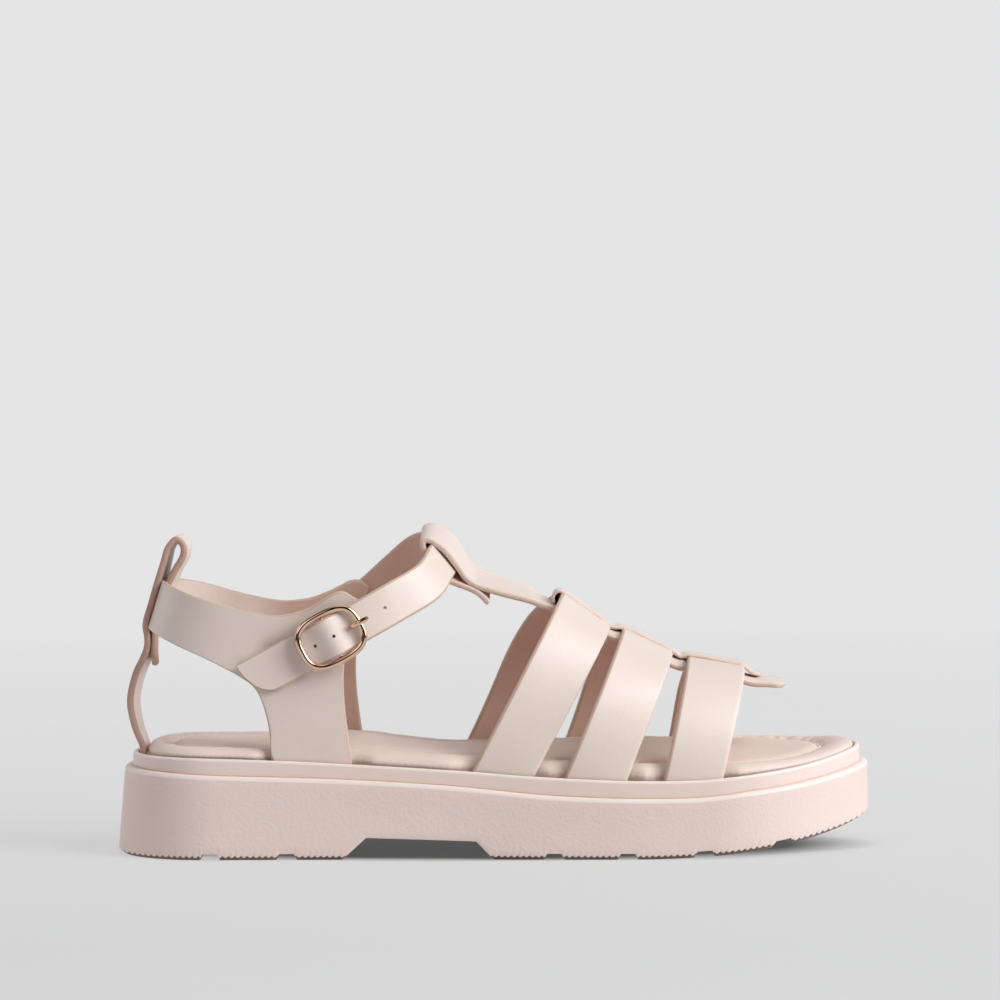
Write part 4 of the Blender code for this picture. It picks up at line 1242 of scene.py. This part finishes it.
def medial_change(top_x):
    """How far the medial wall's top stands higher and the wall stands ahead."""
    return [table_value(MEDIAL_ROWS, MEDIAL_COLUMNS, name, top_x)[0] for name in ("rise", "ahead")]


def quarter_grid():
    rows = np.array(QUARTER_ROWS, float)
    place = np.linspace(0.0, 1.0, len(rows))
    halves = []
    for side in (-1.0, 1.0):
        sections = smooth(place, rows, np.linspace(0.0, 1.0, QUARTER_STEPS) ** QUARTER_CROWDING)
        lines = []
        for top_x, top_z, low_x, low_z, bow in sections:
            share = np.linspace(0.0, 1.0, QUARTER_LEVELS + 1)
            rise, ahead = medial_change(top_x) if side > 0 else (0.0, 0.0)
            x = low_x + (top_x - low_x) * share + bow * np.sin(math.pi * share**BOW_POWER) + ahead
            z = low_z + (top_z - low_z) * share + rise * share
            lines.append(np.stack([x, quarter_y(x, z, side), z], 1))
        halves.append(np.array(lines))
    lateral, medial = halves
    return np.concatenate([lateral[::-1], medial[1:]])


def buckle_trough(grid):
    """Depth of the soft trough in the lateral quarter along the upper edge of the buckle's strap."""
    place = grid - BUCKLE_BASE
    along = place @ BUCKLE_ALONG
    up = place @ BUCKLE_UP
    start, end = TROUGH_RUN
    share = np.clip((along - start) / TROUGH_FADE, 0.0, 1.0) * np.clip((end - along) / TROUGH_FADE, 0.0, 1.0)
    lateral = grid[..., 1] < HEEL_Y
    return TROUGH_DEPTH * np.exp(-(((up - TROUGH_UP) / TROUGH_WIDTH) ** 2)) * share * lateral


def build_quarter():
    grid = quarter_grid()
    reference = (grid - QUARTER_INSIDE) * (1.0, 1.0, 0.0)
    grid = grid - grid_normals(grid, reference) * buckle_trough(grid)[..., None]
    return strap_piece("quarter", grid, reference, lining=QUARTER_LINING_PAINTED_LIGHT)


def build_heel():
    rows = path(HEEL_ROWS, HEEL_STEPS)
    turn = np.radians(rows[:, 3])
    lines = []
    for share in np.linspace(-1.0, 1.0, HEEL_ACROSS + 1):
        reach = share * HEEL_WIDTH / 2
        x = rows[:, 0] + rows[:, 2] * share**2 + reach * np.sin(turn)
        y = HEEL_Y + reach * np.cos(turn)
        lines.append(np.stack([x, y, rows[:, 1]], 1))
    grid = round_ends(np.stack(lines, 1), HEEL_CORNER, first=False)
    ahead = np.gradient(rows, axis=0)
    outward = np.stack([-ahead[:, 1], np.zeros(len(rows)), ahead[:, 0]], 1)
    return strap_piece("heel_loop", grid, outward[:, None, :], HALF_HEEL, HEEL_EDGE_SHADE, LEATHER_SHADE)


def ankle_grid():
    half = STRAP_WIDTH / 2
    tip = []
    for along, out in ANKLE_TIP_ROWS:
        tip.append(np.concatenate([buckle_point(along, half, out), buckle_point(along, -half, out)]))
    rows = path(np.concatenate([np.array(tip), np.array(ANKLE_ROWS, float)]), ANKLE_STEPS)
    share = np.linspace(0.0, 1.0, ANKLE_ACROSS + 1)[None, :, None]
    return rows[:, None, :3] * (1 - share) + rows[:, None, 3:] * share


def build_ankle():
    grid = round_ends(ankle_grid(), ANKLE_CORNER, last=False)
    outward = grid - ANKLE_INSIDE
    item = strap_piece("ankle_strap", grid, outward)
    middle = grid.mean(axis=1)
    normal = grid_normals(grid, outward)[:, grid.shape[1] // 2]
    along = (middle - BUCKLE_BASE) @ BUCKLE_ALONG
    first_turn = len(along) // 2
    cutters = []
    for place in HOLE_ALONG:
        k = int(np.argmin(np.abs(along[:first_turn] - place)))
        line = middle[k] + np.array((-HOLE_HALF_DEPTH, HOLE_HALF_DEPTH))[:, None] * normal[k]
        cutters.append(swept(line, BUCKLE_UP, (HOLE_RADIUS, HOLE_RADIUS), HOLE_SIDES, False))
    cut_holes(item, *joined(cutters))
    return item


def cut_holes(item, points, faces):
    """Cuts the cutter's shape out of the piece and keeps the result as its mesh."""
    mesh = outward_mesh("hole_cutter", points, faces)
    mesh.materials.append(EDGE_SHADE)
    cutter = add_object("hole_cutter", mesh)
    step = item.modifiers.new("holes", "BOOLEAN")
    step.operation = "DIFFERENCE"
    step.solver = "EXACT"
    step.object = cutter
    step.material_mode = "TRANSFER"
    bpy.context.view_layer.update()
    graph = bpy.context.evaluated_depsgraph_get()
    result = bpy.data.meshes.new_from_object(item.evaluated_get(graph))
    item.modifiers.clear()
    item.data = result
    bpy.data.objects.remove(cutter)


# Buckle


def build_holder():
    rows = path(HOLDER_ROWS, HOLDER_STEPS)
    half = STRAP_WIDTH / 2
    lines = []
    for up in np.linspace(half, -half, HOLDER_ACROSS):
        points = []
        into = max((HOLDER_CORNER - half - up) / HOLDER_CORNER, 0.0)
        corner = HOLDER_CORNER * (1 - math.sqrt(1 - min(into, 1.0) ** 2))
        for along, out in rows:
            share = min(max((-along - HOLDER_SLANT_START) / HOLDER_SLANT_RUN, 0.0), 1.0)
            slant = HOLDER_SLANT * up + HOLDER_END_BULGE * (1 - (up / half) ** 2)
            points.append(buckle_point(along + (corner - slant) * share, up, out))
        lines.append(points)
    grid = np.stack(lines, 1)
    reference = BUCKLE_OUT * (np.arange(HOLDER_STEPS) < HOLDER_STEPS // 2)[:, None, None]
    points, faces, zones = slab(grid, grid_normals(grid, reference), HALF_HOLDER)
    shades = (LEATHER_SHADE, LINING_WITH_PAINTED_BOUNCE, EDGE_SHADE)
    item = make_piece("buckle_loop", points, faces, shades, ["buckle_strap"], zones)
    box = []
    for out in SLOT_OUT:
        for end, up in ((0, -1), (1, -1), (1, 1), (0, 1)):
            box.append(buckle_point(SLOT_ALONG[end], up * PRONG_SLOT / 2, out))
    faces = [(0, 1, 2, 3), (7, 6, 5, 4)] + [(i, i + 4, (i + 1) % 4 + 4, (i + 1) % 4) for i in range(4)]
    cut_holes(item, box, faces)
    return item


def build_frame():
    angle = np.linspace(0.0, 2 * math.pi, FRAME_STEPS, endpoint=False)
    a = power_curve(np.cos(angle), FRAME_POWER) * FRAME_HALF_LENGTH
    b = power_curve(np.sin(angle), FRAME_POWER) * FRAME_HALF_HEIGHT
    corners = np.array([buckle_point(x, y, FRAME_OUT) for x, y in zip(a, b)])
    line = path(np.concatenate([corners, corners[:1]]), FRAME_STEPS + 1)[:-1]
    ring = swept(line, BUCKLE_OUT, (FRAME_WIRE, FRAME_WIRE * FRAME_FLATNESS), WIRE_SIDES, True)
    top = FRAME_HALF_HEIGHT
    flat = top - BAR_RUN_IN
    bar_rows = ((-top, FRAME_OUT), (-flat, BAR_OUT), (flat, BAR_OUT), (top, FRAME_OUT))
    bar_line = np.array([buckle_point(0.0, up, out) for up, out in bar_rows])
    bar = swept(bar_line, BUCKLE_ALONG, (BAR_WIRE, BAR_WIRE), WIRE_SIDES, False)
    points, faces = joined([ring, bar])
    return make_piece("buckle_ring", points, faces, [METAL_SHADE], ["buckle_frame"])


def build_prong():
    line = np.array([buckle_point(a, 0.0, o) for a, o in path(PRONG_ROWS, PRONG_STEPS)])
    tongue = swept(line, BUCKLE_UP, (PRONG_WIRE, PRONG_WIRE * PRONG_BREADTH), WIRE_SIDES, False)
    sleeve_line = np.array([buckle_point(0.0, up, BAR_OUT) for up in (-SLEEVE_HALF, SLEEVE_HALF)])
    sleeve = swept(sleeve_line, BUCKLE_OUT, (SLEEVE_RADIUS, SLEEVE_RADIUS), WIRE_SIDES, False)
    points, faces = joined([tongue, sleeve])
    return make_piece("buckle_pin", points, faces, [METAL_SHADE], ["buckle_prong"])


# Stage


def build_floor():
    mesh = bpy.data.meshes.new("studio_floor")
    turns = ((-1, -1), (1, -1), (1, 1), (-1, 1))
    mesh.from_pydata([(x * FLOOR_REACH, y * FLOOR_REACH, 0.0) for x, y in turns], [], [(0, 1, 2, 3)])
    shade, tree, shader = new_material("floor_paper")
    shader.inputs["Base Color"].default_value = (*FLOOR_TONE, 1.0)
    shader.inputs["Roughness"].default_value = FLOOR_ROUGHNESS
    shader.inputs["Specular IOR Level"].default_value = FLOOR_SPECULAR
    shader.inputs["Emission Color"].default_value = (1.0, 1.0, 1.0, 1.0)
    place = object_place(tree)
    away = node(tree, "ShaderNodeVectorMath", {0: place}, operation="LENGTH").outputs["Value"]
    tree.links.new(ramp(tree, away, *FLOOR_FADE, 1.0, 0.0), shader.inputs["Alpha"])
    depth = node(tree, "ShaderNodeSeparateXYZ", {"Vector": place}).outputs["Y"]
    glow = ramp(tree, depth, *FLOOR_DEPTH, *FLOOR_GLOW)
    shares = (1 / SOLE_SHADOW[0], 1 / SOLE_SHADOW[1], 0.0)
    under = node(tree, "ShaderNodeVectorMath", {0: place, 1: shares}, operation="MULTIPLY").outputs["Vector"]
    reach = node(tree, "ShaderNodeVectorMath", {0: under}, operation="LENGTH").outputs["Value"]
    clear = ramp(tree, reach, *SOLE_SHADOW_EDGE, SOLE_SHADOW_GLOW, 1.0)
    level = node(tree, "ShaderNodeMath", {0: glow, 1: clear}, operation="MULTIPLY").outputs[0]
    tree.links.new(level, shader.inputs["Emission Strength"])
    mesh.materials.append(shade)
    add_object("studio_floor", mesh)


def area_light(name, place, size, power, colour):
    lamp = bpy.data.lights.new(name, "AREA")
    lamp.shape = "RECTANGLE"
    lamp.size, lamp.size_y = size
    lamp.energy = power
    lamp.color = colour
    back = unit(np.array(place) - np.array(LIGHT_TARGET))
    side = unit(np.cross((0.0, 0.0, 1.0), back))
    axes = Matrix(np.column_stack([side, np.cross(back, side), back]).tolist()).to_4x4()
    add_object(name, lamp).matrix_world = Matrix.Translation(place) @ axes


def build_light():
    world = bpy.data.worlds.new("studio")
    bpy.context.scene.world = world
    world.use_nodes = True
    tree = world.node_tree
    direction = node(tree, "ShaderNodeTexCoord").outputs["Generated"]
    behind = node(tree, "ShaderNodeSeparateXYZ", {"Vector": direction}).outputs["Y"]
    given = ramp(tree, behind, *ROOM_TURN, 0.0, ROOM_GLOW)
    seen = node(tree, "ShaderNodeLightPath").outputs["Is Camera Ray"]
    level = ramp(tree, seen, 0.0, 1.0, given, ROOM_GLOW)
    tree.links.new(level, tree.nodes["Background"].inputs["Strength"])
    tree.nodes["Background"].inputs["Color"].default_value = (1.0, 1.0, 1.0, 1.0)
    for name, place, size, power, colour in LIGHT_ROWS:
        area_light(name, place, size, power, colour)


def build_camera():
    data = bpy.data.cameras.new("photo_camera")
    data.sensor_width = CAMERA_SENSOR
    data.lens = CAMERA_LENS
    data.clip_start, data.clip_end = CAMERA_CLIP
    camera = add_object("photo_camera", data)
    turn = Matrix.Rotation(math.radians(CAMERA_TURN), 4, "Z")
    pitch = Matrix.Rotation(math.radians(90.0 - CAMERA_PITCH), 4, "X")
    roll = Matrix.Rotation(math.radians(-CAMERA_ROLL), 4, "Z")
    camera.matrix_world = Matrix.Translation(np.array(CAMERA_PLACE) * MM) @ turn @ pitch @ roll
    bpy.context.scene.camera = camera


bpy.context.scene.view_settings.view_transform = "Standard"
build_camera()
build_light()
build_floor()
build_block()
build_rim()
build_pad()
build_pad_stitches()
build_vamp()
build_middle()
build_band()
build_quarter()
build_heel()
build_ankle()
build_holder()
build_frame()
build_prong()
